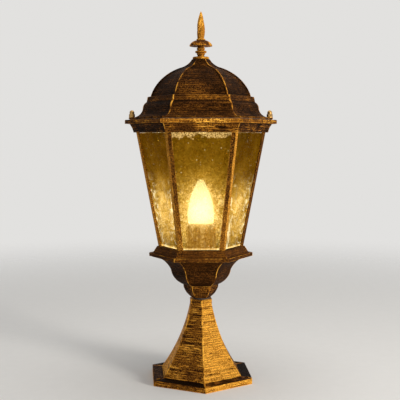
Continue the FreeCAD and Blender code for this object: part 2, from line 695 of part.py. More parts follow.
def around(body, features, count):
    """Repeat features about the body's Z axis."""
    pattern = body.newObject("PartDesign::PolarPattern", "around")
    pattern.Originals = features
    pattern.Axis = (origin_item(body, "Z_Axis"), [""])
    pattern.Angle = 360
    pattern.Occurrences = count
    body.Tip = pattern
    doc.recompute()
    return pattern


def turned(name, corners):
    """Body of revolution about the lantern's axis."""
    body = new_body(name)
    section = new_sketch(body, "XZ_Plane")
    outline(section, corners)
    doc.recompute()
    spin = body.newObject("PartDesign::Revolution", "spin")
    spin.Profile = section
    spin.ReferenceAxis = (section, ["V_Axis"])
    spin.Angle = 360
    doc.recompute()
    return body


def ring(name, inner, outer, foot, thick):
    """Flat round washer from a named height up."""
    body = new_body(name)
    sketch = new_sketch(body, lift=foot)
    circle(sketch, outer)
    circle(sketch, inner)
    pad(body, sketch, thick)
    return body


def hex_nut(name, half, hole, foot, thick):
    """Six-sided nut with a round hole, from a named height up."""
    body = new_body(name)
    sketch = new_sketch(body, lift=foot)
    hexagon(sketch, half)
    circle(sketch, hole)
    pad(body, sketch, thick)
    return body


def make_pedestal():
    """Plinth and flared column in one hollow casting, open below, with a drilled cap."""
    body = new_body("pedestal", value("foot_turn"))
    mitred(body, "foot_half", [
        ("plinth_half", None),
        ("plinth_half", "plinth_edge_z", "edge_round", -1),
        ("plinth_edge_half", "plinth_thick"),
        ("foot_half", "plinth_thick", "column_sweep", 1),
        ("column_half", "column_neck_z"),
        ("column_half", "column_top_z"),
        ("core_half", "column_top_z"),
        ("core_half", "cap_under_z"),
        ("bore_half", "cap_under_z"),
        ("bore_half", "bore_neck_z", "bore_sweep", -1),
        ("bore_foot_half", "bore_foot_z"),
        ("bore_foot_half", None),
    ])
    drill(body, "tube_hole_radius", "column_top_z", "pedestal_cap")
    hole = new_sketch(body, lift="plinth_thick")
    circle(hole, "anchor_hole_radius", "anchor_left", None)
    anchor = cut(body, hole, "plinth_thick")
    around(body, [anchor], ANCHORS)
    return [body]


def make_neck():
    """Seal and collar between the column and the pan."""
    seal = ring("neck_seal", "tube_hole_radius", "seal_radius", "column_top_z", "seal_thick")
    collar = new_body("neck_collar")
    mitred(collar, "collar_top_half", [
        ("core_half", "seal_top_z"),
        ("collar_foot_half", "seal_top_z", "collar_swell", -1),
        ("collar_shoulder_half", "collar_shoulder_z"),
        ("collar_top_half", "pan_z"),
        ("core_half", "pan_z"),
    ])
    drill(collar, "tube_hole_radius", "pan_z", "collar_height")
    return [seal, collar]


def make_clamp():
    """Hollow threaded tube that holds pedestal, collar and pan together, with its nuts and washers."""
    return [
        ring("threaded_tube", "tube_bore_radius", "tube_radius", "tube_foot_z", "tube_length"),
        ring("lower_washer", "thread_radius", "washer_radius", "lower_washer_z", "washer_thick"),
        ring("earth_tag", "thread_radius", "washer_radius", "tag_z", "tag_thick"),
        hex_nut("lower_lock_nut", "locknut_half", "thread_radius", "lower_nut_z", "locknut_thick"),
        ring("upper_washer", "thread_radius", "washer_radius", "pan_floor_z", "washer_thick"),
        hex_nut("upper_lock_nut", "locknut_half", "thread_radius", "upper_nut_z", "locknut_thick"),
    ]


def make_pan():
    """Bowl, drip rim and sill in one casting, with an upstand that keeps the panes in."""
    body = new_body("pan")
    mitred(body, "bowl_waist_half", [
        ("core_half", "pan_z"),
        ("bowl_foot_half", "pan_z", "bowl_swell", -1),
        ("bowl_waist_half", "bowl_waist_z", "cove_sweep", 1),
        ("cove_half", "cove_z"),
        ("pan_rim_half", "pan_rim_z"),
        ("pan_rim_half", "pan_rim_top_z"),
        ("sill_foot_half", "pan_rim_top_z"),
        ("sill_half", "sill_z"),
        ("upstand_half", "sill_z"),
        ("upstand_half", "upstand_z"),
        ("mouth_half", "upstand_z"),
        ("mouth_half", "ledge_under_z"),
        ("sill_inner_half", "ledge_under_z"),
        ("cove_half", "cove_inner_z", "cove_inner_sweep", -1),
        ("waist_inner_half", "bowl_waist_z", "bowl_inner_swell", 1),
        ("floor_half", "pan_floor_z"),
        ("core_half", "pan_floor_z"),
    ])
    drill(body, "tube_hole_radius", "pan_floor_z", "pan_floor")
    socket = drill(body, "spigot_hole_radius", "sill_z", "spigot_hole_depth", "spigot_foot_x")
    around(body, [socket], SIDES)
    return [body]


def make_corner_bar(number):
    """Angle bar along a leaning corner, with a round spigot at each end."""
    body = new_body(f"corner_bar_{number + 1}", SIXTH * number)
    section = new_sketch(body, lift="sill_z")
    outline(section, [
        ("bar_foot_corner", None),
        ("bar_wing_x", "bar_wing_y"),
        ("bar_back_x", "bar_back_y"),
        ("bar_inner_x", None),
        ("bar_back_x", "bar_back_left_y"),
        ("bar_wing_x", "bar_wing_left_y"),
    ])
    doc.recompute()
    bar = body.newObject("PartDesign::Pad", "bar")
    bar.Profile = section
    bar.UseCustomVector = True
    bar.Direction = Vector(value("bar_spread"), 0, value("cage_height"))
    bar.setExpression("Direction.x", ref("bar_spread"))
    bar.setExpression("Direction.z", ref("cage_height"))
    bar.AlongSketchNormal = True
    bar.setExpression("Length", ref("cage_height"))
    doc.recompute()
    foot = new_sketch(body, lift="sill_z")
    circle(foot, "spigot_radius", "spigot_foot_x")
    pad(body, foot, "spigot_length", up=False)
    head = new_sketch(body, lift="ring_z")
    circle(head, "spigot_radius", "spigot_top_x")
    pad(body, head, "spigot_length")
    return body


def make_glass_pane(number):
    """Trapezium pane leaning behind two corner bars."""
    body = new_body(f"glass_pane_{number + 1}", SIXTH * number)
    face = new_sketch(body, "XZ_Plane")
    lean = FreeCAD.Rotation(Vector(1, 0, 0), value("lean"))
    face.AttachmentOffset = FreeCAD.Placement(Vector(0, value("sill_z"), value("glass_foot_half")), lean)
    face.setExpression("AttachmentOffset.Base.y", ref("sill_z"))
    face.setExpression("AttachmentOffset.Base.z", ref("glass_foot_half"))
    outline(face, [
        ("glass_foot_left", "glass_low"),
        ("glass_foot_width", "glass_low"),
        ("glass_top_width", "glass_high"),
        ("glass_top_left", "glass_high"),
    ])
    pad(body, face, "glass_thick", up=False)
    return body


def make_cage():
    """Corner bars, panes and the spring clips that press the panes against the bars."""
    bars = [make_corner_bar(number) for number in range(SIDES)]
    panes = [make_glass_pane(number) for number in range(SIDES)]
    clips = new_body("pane_clips")
    strip = new_sketch(clips, "YZ_Plane")
    outline(strip, [
        ("clip_end_half", "ring_z"),
        ("clip_end_half", "clip_under_z"),
        ("clip_inner_half", "clip_under_z"),
        ("clip_foot_inner_half", "clip_foot_z"),
        ("clip_foot_half", "clip_foot_z"),
        ("clip_corner_half", "ring_z"),
    ])
    bent = pad(clips, strip, "clip_width")
    bent.SideType = "Symmetric"
    doc.recompute()
    eye = drill(clips, "clip_hole_radius", "ring_z", "clip_thick", None, "clip_screw_half")
    around(clips, [bent, eye], SIDES)
    screws = new_body("clip_screws")
    shank = new_sketch(screws, lift="clip_under_z")
    circle(shank, "clip_screw_radius", None, "clip_screw_half")
    head = new_sketch(screws, lift="clip_head_z")
    circle(head, "clip_head_radius", None, "clip_screw_half")
    around(screws, [pad(screws, shank, "clip_screw_length"), pad(screws, head, "clip_head_thick")], SIDES)
    return bars + panes + [clips, screws]


def make_cage_ring():
    """Cornice and rim: a channel open to the inside, with the seat of the roof on top."""
    body = new_body("cage_ring")
    mitred(body, "cornice_foot_half", [
        ("lip_half", "ring_z"),
        ("cornice_foot_half", "ring_z", "cornice_sweep", 1),
        ("cornice_head_half", "cornice_head_z"),
        ("rim_half", "rim_z"),
        ("rim_half", "rim_edge_z", "edge_round", -1),
        ("rim_edge_half", "ring_top_z"),
        ("flange_mouth_half", "ring_top_z"),
        ("flange_mouth_half", "flange_under_z"),
        ("cornice_inner_head", "flange_under_z"),
        ("cornice_inner_foot", "lip_top_z"),
        ("lip_half", "lip_top_z"),
    ])
    socket = drill(body, "spigot_hole_radius", "spigot_hole_top_z", "spigot_hole_depth", "spigot_top_x")
    around(body, [socket], SIDES)
    screw = drill(body, "clip_hole_radius", "lip_top_z", "ring_wall", None, "clip_screw_half")
    around(body, [screw], SIDES)
    stud = drill(body, "stud_fit_radius", "ring_top_z", "ring_wall", "stud_place")
    around(body, [stud], STUDS)
    return [body]


def make_roof_gasket():
    """Flat six-sided seal under the roof's flange, pierced by the studs."""
    body = new_body("roof_gasket")
    mitred(body, "gasket_half", [
        ("ogee_inner_foot", "ring_top_z"),
        ("gasket_half", "ring_top_z"),
        ("gasket_half", "roof_z"),
        ("ogee_inner_foot", "roof_z"),
    ])
    hole = drill(body, "stud_hole_radius", "roof_z", "gasket_thick", "stud_place")
    around(body, [hole], STUDS)
    return [body]


def make_roof_shell():
    """Thin cast wall of flange, ogee, band, dome and neck."""
    body = new_body("roof_shell")
    mitred(body, "band_foot_half", [
        ("roof_flange_half", "roof_z"),
        ("roof_flange_half", "roof_flange_z"),
        ("ogee_foot_half", "roof_flange_z", "ogee_cove", 1),
        ("ogee_waist_half", "ogee_waist_z", "ogee_bulge", -1),
        ("band_foot_half", "band_z"),
        ("band_top_half", "band_top_z"),
        ("dome_foot_half", "dome_z", "dome_swell", -1),
        ("dome_top_half", "dome_top_z", "neck_sweep", 1),
        ("neck_half", "roof_top_z"),
        ("core_half", "roof_top_z"),
        ("core_half", "crown_under_z"),
        ("neck_inner_half", "crown_under_z", "neck_inner_sweep", -1),
        ("dome_top_half", "dome_inner_top_z", "dome_inner_swell", 1),
        ("dome_inner_foot", "dome_z"),
        ("band_inner_top", "band_inner_top_z"),
        ("band_inner_foot", "band_z"),
        ("ogee_inner_waist", "ogee_waist_z", "ogee_inner_cove", -1),
        ("ogee_inner_foot", "roof_z"),
    ])
    drill(body, "crown_hole_radius", "roof_top_z", "crown_thick")
    return body


def make_roof_ridges():
    """Raised strips along the six corners of the dome, fading out at the head of the neck."""
    body = new_body("roof_ridges")
    mitred(body, "dome_foot_half", [
        ("ridge_dome_foot", "band_top_z"),
        ("ridge_dome_foot", "ridge_dome_z", "ridge_dome_swell", -1),
        ("dome_top_half", "ridge_dome_top_z", "ridge_neck_sweep", 1),
        ("neck_half", "roof_top_z"),
        ("root_neck", "roof_top_z", "root_neck_sweep", -1),
        ("dome_top_half", "root_dome_top_z", "root_dome_swell", 1),
        ("root_dome_foot", "dome_z"),
    ])
    sector = new_sketch(body, lift="roof_top_z")
    outline(sector, [
        ("sector_x", "sector_y"),
        ("sector_far_x", "sector_y"),
        ("sector_tip_x", "sector_tip_y"),
    ])
    field = cut(body, sector, "roof_rise")
    around(body, [field], SIDES)
    return body


def make_roof():
    """Ridged roof shell with a hole and a spot face for each stud."""
    ridged = doc.addObject("Part::Fuse", "ridged_roof")
    ridged.Base = make_roof_shell()
    ridged.Tool = make_roof_ridges()
    bores = []
    for side in (1, -1):
        for radius, foot, depth in (("stud_hole_radius", "roof_z", "roof_flange_thick"),
                                    ("spot_radius", "roof_flange_z", "spot_depth")):
            bore = doc.addObject("Part::Cylinder", "stud_bore")
            bore.setExpression("Radius", ref(radius))
            bore.setExpression("Height", ref(depth))
            bore.setExpression("Placement.Base.x", f"{side} * {ref('stud_place')}")
            bore.setExpression("Placement.Base.z", ref(foot))
            bores.append(bore)
    holes = doc.addObject("Part::Compound", "stud_bores")
    holes.Links = bores
    roof = doc.addObject("Part::Cut", "roof")
    roof.Label = "roof"
    roof.Base = ridged
    roof.Tool = holes
    doc.recompute()
    return [roof]


def make_roof_fastening():
    """Two studs in the rim, and on each a captive washer and a cap nut."""
    studs = new_body("roof_studs")
    shank = new_sketch(studs, lift="flange_under_z")
    circle(shank, "stud_radius", "stud_place")
    around(studs, [pad(studs, shank, "stud_length")], STUDS)
    pieces = [studs]
    for side, sign in (("right", 1), ("left", -1)):
        washer = ring(f"captive_washer_{side}", "stud_fit_radius", "captive_radius", "roof_flange_z",
                      "captive_thick")
        nut = hex_nut(f"acorn_nut_{side}", "acorn_half", "stud_fit_radius", "captive_z", "acorn_hex")
        dome = new_sketch(nut, "XZ_Plane")
        outline(dome, [
            ("stud_fit_radius", "acorn_hex_z"),
            ("acorn_dome_radius", "acorn_hex_z"),
            ("acorn_dome_radius", "acorn_spring_z", "acorn_dome_radius", -1),
            (None, "acorn_top_z"),
            (None, "acorn_bore_z"),
            ("stud_fit_radius", "acorn_bore_z"),
        ])
        doc.recompute()
        spin = nut.newObject("PartDesign::Revolution", "spin")
        spin.Profile = dome
        spin.ReferenceAxis = (dome, ["V_Axis"])
        spin.Angle = 360
        for piece in (washer, nut):
            piece.setExpression("Placement.Base.x", f"{sign} * {ref('stud_place')}")
            pieces.append(piece)
        doc.recompute()
    return pieces


def flame_section(height, share):
    """Lobed ring of the flame at a share of its height: arcs from valley to valley over each crest."""
    phase = FLAME_START_RATIO + (FLAME_TIP_RATIO - FLAME_START_RATIO) * share
    reach = value("flame_radius") * math.sin(math.pi * phase) ** FLAME_FULLNESS_POWER
    step = 2 * math.pi / FLAME_LOBES
    start = math.radians(value("flame_twist")) * share
    arcs = []
    for lobe in range(FLAME_LOBES):
        turns = [start + step * (lobe + part) for part in (0, 0.5, 1)]
        reaches = [reach * FLAME_VALLEY_RATIO, reach, reach * FLAME_VALLEY_RATIO]
        points = [Vector(r * math.cos(turn), r * math.sin(turn), height) for r, turn in zip(reaches, turns)]
        arcs.append(Part.Arc(*points).toShape())
    return Part.Wire(arcs)


def make_finial():
    """Turned collar, beads and disc with a twisted flame, and the stud, washer and nut that hold it."""
    stem = turned("finial_stem", [
        ("finial_stud_hole", "roof_top_z"),
        ("finial_collar_edge", "roof_top_z", "finial_collar_curl", -1),
        ("finial_collar_edge", "finial_neck_z"),
        ("finial_neck_radius", "finial_neck_z"),
        ("finial_neck_radius", "finial_bead_z"),
        ("finial_bead_edge", "finial_bead_z", "finial_bead_curl", -1),
        ("finial_bead_edge", "finial_knob_z"),
        ("finial_knob_edge", "finial_knob_z", "finial_knob_curl", -1),
        ("finial_knob_edge", "finial_waist_z"),
        ("finial_neck_radius", "finial_waist_z"),
        ("finial_neck_radius", "finial_upper_bead_z"),
        ("finial_bead_edge", "finial_upper_bead_z", "finial_bead_curl", -1),
        ("finial_bead_edge", "finial_stem_z"),
        ("finial_neck_radius", "finial_stem_z"),
        ("finial_neck_radius", "finial_disc_z"),
        ("finial_disc_radius", "finial_disc_z"),
        ("finial_disc_radius", "finial_disc_edge_z", "finial_disc_swell", -1),
        ("finial_cup_radius", "finial_ring_z"),
        ("finial_ring_edge", "finial_ring_z", "finial_ring_curl", -1),
        ("finial_ring_edge", "flame_z"),
        (None, "flame_z"),
        (None, "finial_hole_top_z"),
        ("finial_stud_hole", "finial_hole_top_z"),
    ])
    flame = doc.addObject("Part::Feature", "flame")
    rings = [flame_section(value("finial_ring_z"), 0)]
    for level in range(FLAME_LEVELS + 1):
        share = level / FLAME_LEVELS
        rings.append(flame_section(value("flame_z") + value("flame_height") * share, share))
    flame.Shape = Part.makeLoft(rings, True)
    finial = doc.addObject("Part::Fuse", "finial")
    finial.Label = "finial"
    finial.Base = stem
    finial.Tool = flame
    stud = new_body("finial_stud")
    rod = new_sketch(stud, lift="finial_stud_foot_z")
    circle(rod, "finial_stud_radius")
    pad(stud, rod, "finial_stud_length")
    washer = ring("finial_washer", "finial_stud_hole", "finial_washer_radius", "finial_washer_z",
                  "finial_washer_thick")
    nut = hex_nut("finial_nut", "finial_nut_half", "finial_stud_hole", "finial_nut_z", "finial_nut_thick")
    return [finial, stud, washer, nut]


def make_lampholder():
    """Screw lampholder on the tube's end: cap, shell, insert, thread shell and centre contact."""
    cap = turned("holder_cap", [
        ("thread_radius", "holder_z"),
        ("holder_foot_radius", "holder_z", "holder_swell", -1),
        ("holder_radius", "holder_shoulder_z"),
        ("holder_radius", "holder_cap_z"),
        ("insert_fit_radius", "holder_cap_z"),
        ("insert_fit_radius", "insert_z"),
        ("holder_well_radius", "insert_z"),
        ("holder_well_radius", "holder_boss_z"),
        ("holder_boss_radius", "holder_well_z"),
        ("holder_boss_radius", "holder_boss_z"),
        ("thread_radius", "holder_boss_z"),
    ])
    shell = ring("holder_shell", "holder_bore_radius", "holder_radius", "holder_cap_z", "holder_shell_height")
    insert = new_body("holder_insert")
    disc = new_sketch(insert, lift="insert_z")
    circle(disc, "insert_radius")
    pad(insert, disc, "insert_thick")
    thread = turned("screw_shell", [
        ("screw_shell_eye", "insert_top_z"),
        ("screw_shell_outer", "insert_top_z"),
        ("screw_shell_outer", "screw_shell_top_z"),
        ("screw_shell_radius", "screw_shell_top_z"),
        ("screw_shell_radius", "screw_shell_base_z"),
        ("screw_shell_eye", "screw_shell_base_z"),
    ])
    contact = turned("centre_contact", [
        (None, "insert_top_z"),
        ("contact_radius", "insert_top_z", "contact_dome", -1),
        (None, "contact_top_z"),
    ])
    return [cap, shell, insert, thread, contact]


def make_lamp():
    """Opal candle lamp: hollow envelope in a screw cap with its insulator and eyelet."""
    envelope = turned("lamp_envelope", [
        ("lamp_neck_inner", "lamp_neck_foot_z"),
        ("lamp_neck_radius", "lamp_neck_foot_z"),
        ("lamp_neck_radius", "lamp_cap_top_z", "lamp_shoulder", -1),
        ("lamp_radius", "lamp_belly_z", "lamp_flank", -1),
        ("lamp_tip_radius", "lamp_tip_z", "lamp_tip_sweep", -1),
        (None, "lamp_top_z"),
        (None, "lamp_top_inner_z", "lamp_tip_inner_sweep", 1),
        ("lamp_tip_inner", "lamp_tip_z", "lamp_inner_flank", 1),
        ("lamp_belly_inner", "lamp_belly_z", "lamp_inner_shoulder", 1),
        ("lamp_neck_inner", "lamp_cap_top_z"),
    ])
    cap = turned("lamp_cap", [
        (None, "lamp_cap_z"),
        ("lamp_foot_radius", "lamp_cap_z"),
        ("lamp_cap_radius", "lamp_bevel_z"),
        ("lamp_cap_radius", "lamp_cap_top_z"),
        ("lamp_cap_bore", "lamp_cap_top_z"),
        ("lamp_cap_bore", "lamp_bevel_z"),
        ("lamp_foot_inner", "lamp_cap_sole_z"),
        (None, "lamp_cap_sole_z"),
    ])
    insulator = turned("lamp_insulator", [
        (None, "lamp_insulator_z"),
        ("lamp_eyelet_radius", "lamp_insulator_z"),
        ("lamp_foot_radius", "lamp_cap_z"),
        (None, "lamp_cap_z"),
    ])
    eyelet = new_body("lamp_contact")
    disc = new_sketch(eyelet, lift="lamp_z")
    circle(disc, "lamp_eyelet_radius")
    pad(eyelet, disc, "lamp_eyelet_height")
    return [envelope, cap, insulator, eyelet]


def make_lead(name, turn, low, middle, high, bend, top):
    """Insulated lead in one upright plane: up from the terminal block, an S bend, then straight up."""
    body = new_body(name, turn)
    path = new_sketch(body, "XZ_Plane")
    side = 1 if value(low or "core_half") > value(high) else -1
    ends = outline(path, [
        (low, "block_top_z"),
        (low, "lead_bend_z", bend, -side),
        (middle, "lead_bend_mid_z", bend, side),
        (high, "lead_bend_top_z"),
        (high, top),
    ], closed=False)
    section = new_sketch(body, lift="block_top_z")
    circle(section, "lead_radius", low)
    doc.recompute()
    sweep = body.newObject("PartDesign::AdditivePipe", "sweep")
    sweep.Profile = section
    sweep.Spine = (path, [f"Edge{number + 1}" for number in range(len(ends))])
    doc.recompute()
    return body


def make_wiring():
    """Terminal block that hangs on the leads inside the pedestal, and the three leads."""
    block = new_body("terminal_block")
    base = new_sketch(block, lift="block_z")
    outline(base, [
        ("block_left", "block_front"),
        ("block_half_length", "block_front"),
        ("block_half_length", "block_half_depth"),
        ("block_left", "block_half_depth"),
    ])
    pad(block, base, "block_height")
    entries = new_sketch(block, lift="entry_top_z")
    wells = new_sketch(block, "XZ_Plane", lift="block_half_depth")
    screws = new_body("terminal_screws")
    heads = new_sketch(screws, "XZ_Plane", lift="terminal_screw_face")
    for pole in ("pole_left", None, "pole_pitch"):
        circle(entries, "entry_radius", pole)
        for level in ("terminal_low_z", "terminal_high_z"):
            circle(wells, "terminal_well_radius", pole, level)
            circle(heads, "terminal_screw_radius", pole, level)
    cut(block, entries, "entry_depth")
    cut(block, wells, "terminal_well_depth")
    pad(screws, heads, "terminal_screw_length", up=False)
    return [
        block,
        screws,
        make_lead("lead_live", 0, "pole_pitch", "lead_mid", "lead_offset", "lead_bend", "insert_z"),
        make_lead("lead_neutral", 180, "pole_pitch", "lead_mid", "lead_offset", "lead_bend", "insert_z"),
        make_lead("lead_earth", 90, None, "earth_mid", "earth_offset", "earth_bend", "tag_z"),
    ]


pieces = (make_pedestal() + make_neck() + make_clamp() + make_pan() + make_cage() + make_cage_ring()
          + make_roof_gasket() + make_roof() + make_roof_fastening() + make_finial() + make_lampholder()
          + make_lamp() + make_wiring())
doc.recompute()

for item in doc.Objects:
    if "Invalid" in item.State or "Error" in item.State:
        raise RuntimeError(f"{item.Label} failed: {item.State}")
for piece in pieces:
    if piece.Shape.isNull() or not piece.Shape.isValid() or not piece.Shape.Solids:
        raise RuntimeError(f"{piece.Label} has no sound solid")

os.makedirs("parts", exist_ok=True)
for piece in pieces:
    piece.Shape.exportStep(f"parts/{piece.Label}.step")
print(len(pieces), "pieces,", sum(len(piece.Shape.Solids) for piece in pieces), "solids")
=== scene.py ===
"""Six-sided pier lantern: dry-brushed castings, rippled amber panes, a lit lamp and a pale studio."""
import math

import bpy
import numpy as np
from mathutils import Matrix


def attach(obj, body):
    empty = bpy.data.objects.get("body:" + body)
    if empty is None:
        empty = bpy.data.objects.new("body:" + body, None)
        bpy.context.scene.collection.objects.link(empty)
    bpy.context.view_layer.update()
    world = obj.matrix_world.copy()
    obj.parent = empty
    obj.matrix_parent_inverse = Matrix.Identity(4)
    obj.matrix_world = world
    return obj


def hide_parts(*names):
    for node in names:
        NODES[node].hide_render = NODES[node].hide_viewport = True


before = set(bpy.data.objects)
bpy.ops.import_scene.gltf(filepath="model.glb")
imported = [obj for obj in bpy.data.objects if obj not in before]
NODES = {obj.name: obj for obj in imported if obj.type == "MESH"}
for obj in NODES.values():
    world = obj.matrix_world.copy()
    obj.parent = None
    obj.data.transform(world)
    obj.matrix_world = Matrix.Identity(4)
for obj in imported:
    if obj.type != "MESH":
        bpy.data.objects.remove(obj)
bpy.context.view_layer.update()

# Headings of the six sides, in degrees: the foot is turned against the head
SIDES = 6
SIDE_STEP = 60.0
FRONT = -90.0
HEAD_TURN = 0.0
FOOT_TURN = 34.0

# Cage and lamp, in metres
SILL_HEIGHT = 0.1795
CAGE_HEIGHT = 0.152
HOLDER_RIM = 0.211
LAMP_MIDDLE = 0.232

# Glass, in metres: outer face from the axis at sill and ring, thickness, gaps at sides and ends
GLASS_FOOT = 0.046866
GLASS_HEAD = 0.071966
GLASS_THICK = 0.0025
GLASS_SETBACK = 0.00174
GLASS_GAP = 0.00071
LEAN = math.atan((GLASS_HEAD - GLASS_FOOT) / CAGE_HEIGHT)
SLANT = CAGE_HEIGHT / math.cos(LEAN)
HALF_SIDE = math.tan(math.radians(SIDE_STEP / 2.0))
FOOT_HALF = GLASS_FOOT * HALF_SIDE - GLASS_SETBACK
HEAD_HALF = GLASS_HEAD * HALF_SIDE - GLASS_SETBACK

# Pane meshes: grid, ripples of the outer and inner face, and the depth of the painted lit strip at the head
PANE_ROWS = 150
PANE_COLUMNS = 72
RIPPLE_WAVES = 26
RIPPLE_LENGTHS = (0.005, 0.019)
OUTER_RIPPLE = 0.00050
INNER_RIPPLE = 0.00030
OUTER_SEED = 40
INNER_SEED = 80
FRONT_LIT_STRIP = 0.0075
OTHER_LIT_STRIP = 0.0012
PATTERN_SHIFT = 0.37

# Heights on the castings where the tone changes, in metres: brushwork, and painted shade as marked
# Plinth step: darkened, painted shade
PLINTH_STEP = (0.0074, 0.0086)
PAN_RIM = (0.1660, 0.1712)
PAN_SILL = (0.1712, 0.1795)
# Bars: their first wings grow darker between these heights, painted shade
BAR_SHADE = (0.17, 0.30)
RING_RIM = (0.3430, 0.3490)
BROAD_RIDGES = (0.3570, 0.3800)
# Painted shadow: a dark line at the foot of the roof band
BAND_FOOT_LINE = (0.3704, 0.3716)
ROOF_BAND = (0.3714, 0.3785)
FINIAL_COLLAR = (0.4279, 0.4309)
FINIAL_BEADS = (0.4336, 0.4427)
FINIAL_DISC = (0.4450, 0.4526)
FINIAL_DISC_HEAD = (0.4526, 0.4546)
FINIAL_FLAME = (0.4546, 0.4910)

# Brushwork: lengths in metres, and the cells of the noise in a metre of width, depth and height
BRUSH_PITCH = 0.0027
BRUSH_WANDER = 0.0055
BROKEN_STROKES = (95.0, 95.0, 420.0)
WIDE_STROKES = (40.0, 40.0, 170.0)
LONG_SCORES = (16.0, 16.0, 300.0)
BAND_SOFTNESS = 0.0003
CORNER_SOFTNESS = 0.0002
# Reach of the rays that find recesses, for painted shade, and arrises, for the brush
RECESS_REACH = 0.012
ARRIS_REACH = 0.0015
BROAD_GAIN = 0.0011
CAST_RELIEF = 0.0009
PAINT_TO_GOLD = [
    (0.0, (0.0075, 0.0032, 0.0012)),
    (0.18, (0.027, 0.0100, 0.0028)),
    (0.40, (0.125, 0.043, 0.0072)),
    (0.70, (0.44, 0.172, 0.017)),
    (1.0, (0.93, 0.465, 0.062)),
]

# Stained glass: places across and up a pane, in metres, cells of its noise, its tint and painted light
# Painted light: the halo about the lamp, and the glow that fades up from the foot
HALO_ACROSS = 0.032
HALO_UP = 0.044
FOOT_GLOW = (0.004, 0.125)
# Painted shadow of the holder on the front pane, with upright streaks
HOLDER_SHADOW_ACROSS = (0.016, 0.0225)
HOLDER_SHADOW_UP = (0.027, 0.037)
HOLDER_SHADOW_STREAKS = (300.0, 14.0, 1.0)
# Painted shade on the other panes, in patches
SHADE_PATCHES = (75.0, 45.0, 7.0)
# Wavy veins, lit with painted light, low down beside the bars
VEIN_WAVES = (58.0, 24.0, 7.0)
VEIN_UP = (0.060, 0.105)
VEIN_EDGE = (0.008, 0.026)
# Painted highlight: a thin bright line along the foot
FOOT_LINE = (0.0022, 0.0032)
# Bubbles with painted glints
BUBBLE_CELLS = 200.0
# Softness of the ragged strip of painted light at the head
STRIP_SOFTNESS = 0.0006
GLASS_RELIEF = 0.0009
PALE_AMBER = (0.34, 0.245, 0.070)
DEEP_AMBER = (0.22, 0.155, 0.040)
# Painted shade: the other panes darker and browner
SHADED_BROWN = (0.17, 0.090, 0.016)
# Painted highlight: the tint lighter near the lamp
LAMPLIT_AMBER = (0.37, 0.290, 0.135)
# Painted light: tint of the ragged strip at the head
LIT_STRIP_TINT = (0.66, 0.56, 0.34)
# Painted shadow of the holder: its dimmer light
HOLDER_SHADOW_LIGHT = (0.30, 0.120, 0.020)
# Painted glints of the bubbles and veins
SPARK_LIGHT = (1.0, 0.90, 0.55)
# Painted light: glow of the ragged strip at the head
LIT_STRIP_LIGHT = (0.50, 0.35, 0.14)
# Painted light: the glow caught in the glass, from dim to bright
CAUGHT_LIGHT = [
    (0.0, (0.020, 0.008, 0.000)),
    (0.10, (0.075, 0.035, 0.000)),
    (0.30, (0.23, 0.130, 0.010)),
    (0.55, (0.56, 0.350, 0.075)),
    (0.80, (0.91, 0.65, 0.26)),
    (1.0, (1.0, 0.90, 0.52)),
]

# Sheaths of the leads
LEAD_TONES = {
    "lead_live": (0.16, 0.065, 0.025),
    "lead_neutral": (0.03, 0.09, 0.32),
    "lead_earth": (0.22, 0.40, 0.05),
}

# Studio: floor in metres, and the strength of the surroundings as soft light and as they are seen
FLOOR_RADIUS = 2.6
FLOOR_RINGS = 24
FLOOR_AROUND = 96
FLOOR_CROWDING = 1.6
FLOOR_FADE = (0.35, 1.6)
SOFT_LIGHT = 0.24
SEEN_LIGHT = 0.76


class Wire:
    """One output of a node. Sums and products of wires and numbers add Math nodes to the same tree."""

    def __init__(self, tree, socket=None):
        self.tree = tree
        self.socket = socket

    def node(self, kind, settings=None, values=None, out=0):
        """Adds a node of that kind: its settings first, then the values or wires of its inputs."""
        made = self.tree.nodes.new(kind)
        for key, setting in (settings or {}).items():
            if key == "stops":
                ramp = made.color_ramp
                ramp.elements.remove(ramp.elements[1])
                ramp.elements[0].position = setting[0][0]
                ramp.elements[0].color = (*setting[0][1], 1.0)
                for place, colour in setting[1:]:
                    ramp.elements.new(place).color = (*colour, 1.0)
            else:
                setattr(made, key, setting)
        for key, value in (values or {}).items():
            if isinstance(value, Wire):
                self.tree.links.new(value.socket, made.inputs[key])
            else:
                made.inputs[key].default_value = value
        return Wire(self.tree, made.outputs[out] if made.outputs else None)

    def maths(self, operation, *terms):
        """A Math node on wires and numbers."""
        return self.node("ShaderNodeMath", {"operation": operation}, dict(enumerate(terms)))

    def __add__(self, other):
        return self.maths("ADD", self, other)

    def __sub__(self, other):
        return self.maths("SUBTRACT", self, other)

    def __rsub__(self, other):
        return self.maths("SUBTRACT", other, self)

    def __mul__(self, other):
        return self.maths("MULTIPLY", self, other)

    def __truediv__(self, other):
        return self.maths("DIVIDE", self, other)

    def __rtruediv__(self, other):
        return self.maths("DIVIDE", other, self)

    def __abs__(self):
        return self.maths("ABSOLUTE", self)

    __radd__ = __add__
    __rmul__ = __mul__


def rise(wire, low, high):
    """0 below low, 1 above high, and a smooth step between them."""
    return wire.node("ShaderNodeMapRange", {"interpolation_type": "SMOOTHSTEP"},
                     {"Value": wire, "From Min": low, "From Max": high})


def fall(wire, low, high):
    """1 below low, 0 above high, and a smooth step between them."""
    return 1 - rise(wire, low, high)


def either(first, second):
    """The larger of two masks."""
    return first.maths("MAXIMUM", first, second)


def lesser(first, second):
    """The smaller of two values."""
    return first.maths("MINIMUM", first, second)


def mixed(share, first, second):
    """Colour that goes from first to second as share goes from 0 to 1."""
    ends = [end if isinstance(end, Wire) else (*end, 1.0) for end in (first, second)]
    return share.node("ShaderNodeMix", {"data_type": "RGBA"}, {0: share, 6: ends[0], 7: ends[1]}, out=2)


def along(place, direction):
    """Distance of a place along a direction."""
    return place.node("ShaderNodeVectorMath", {"operation": "DOT_PRODUCT"}, {0: place, 1: direction},
                      out="Value")


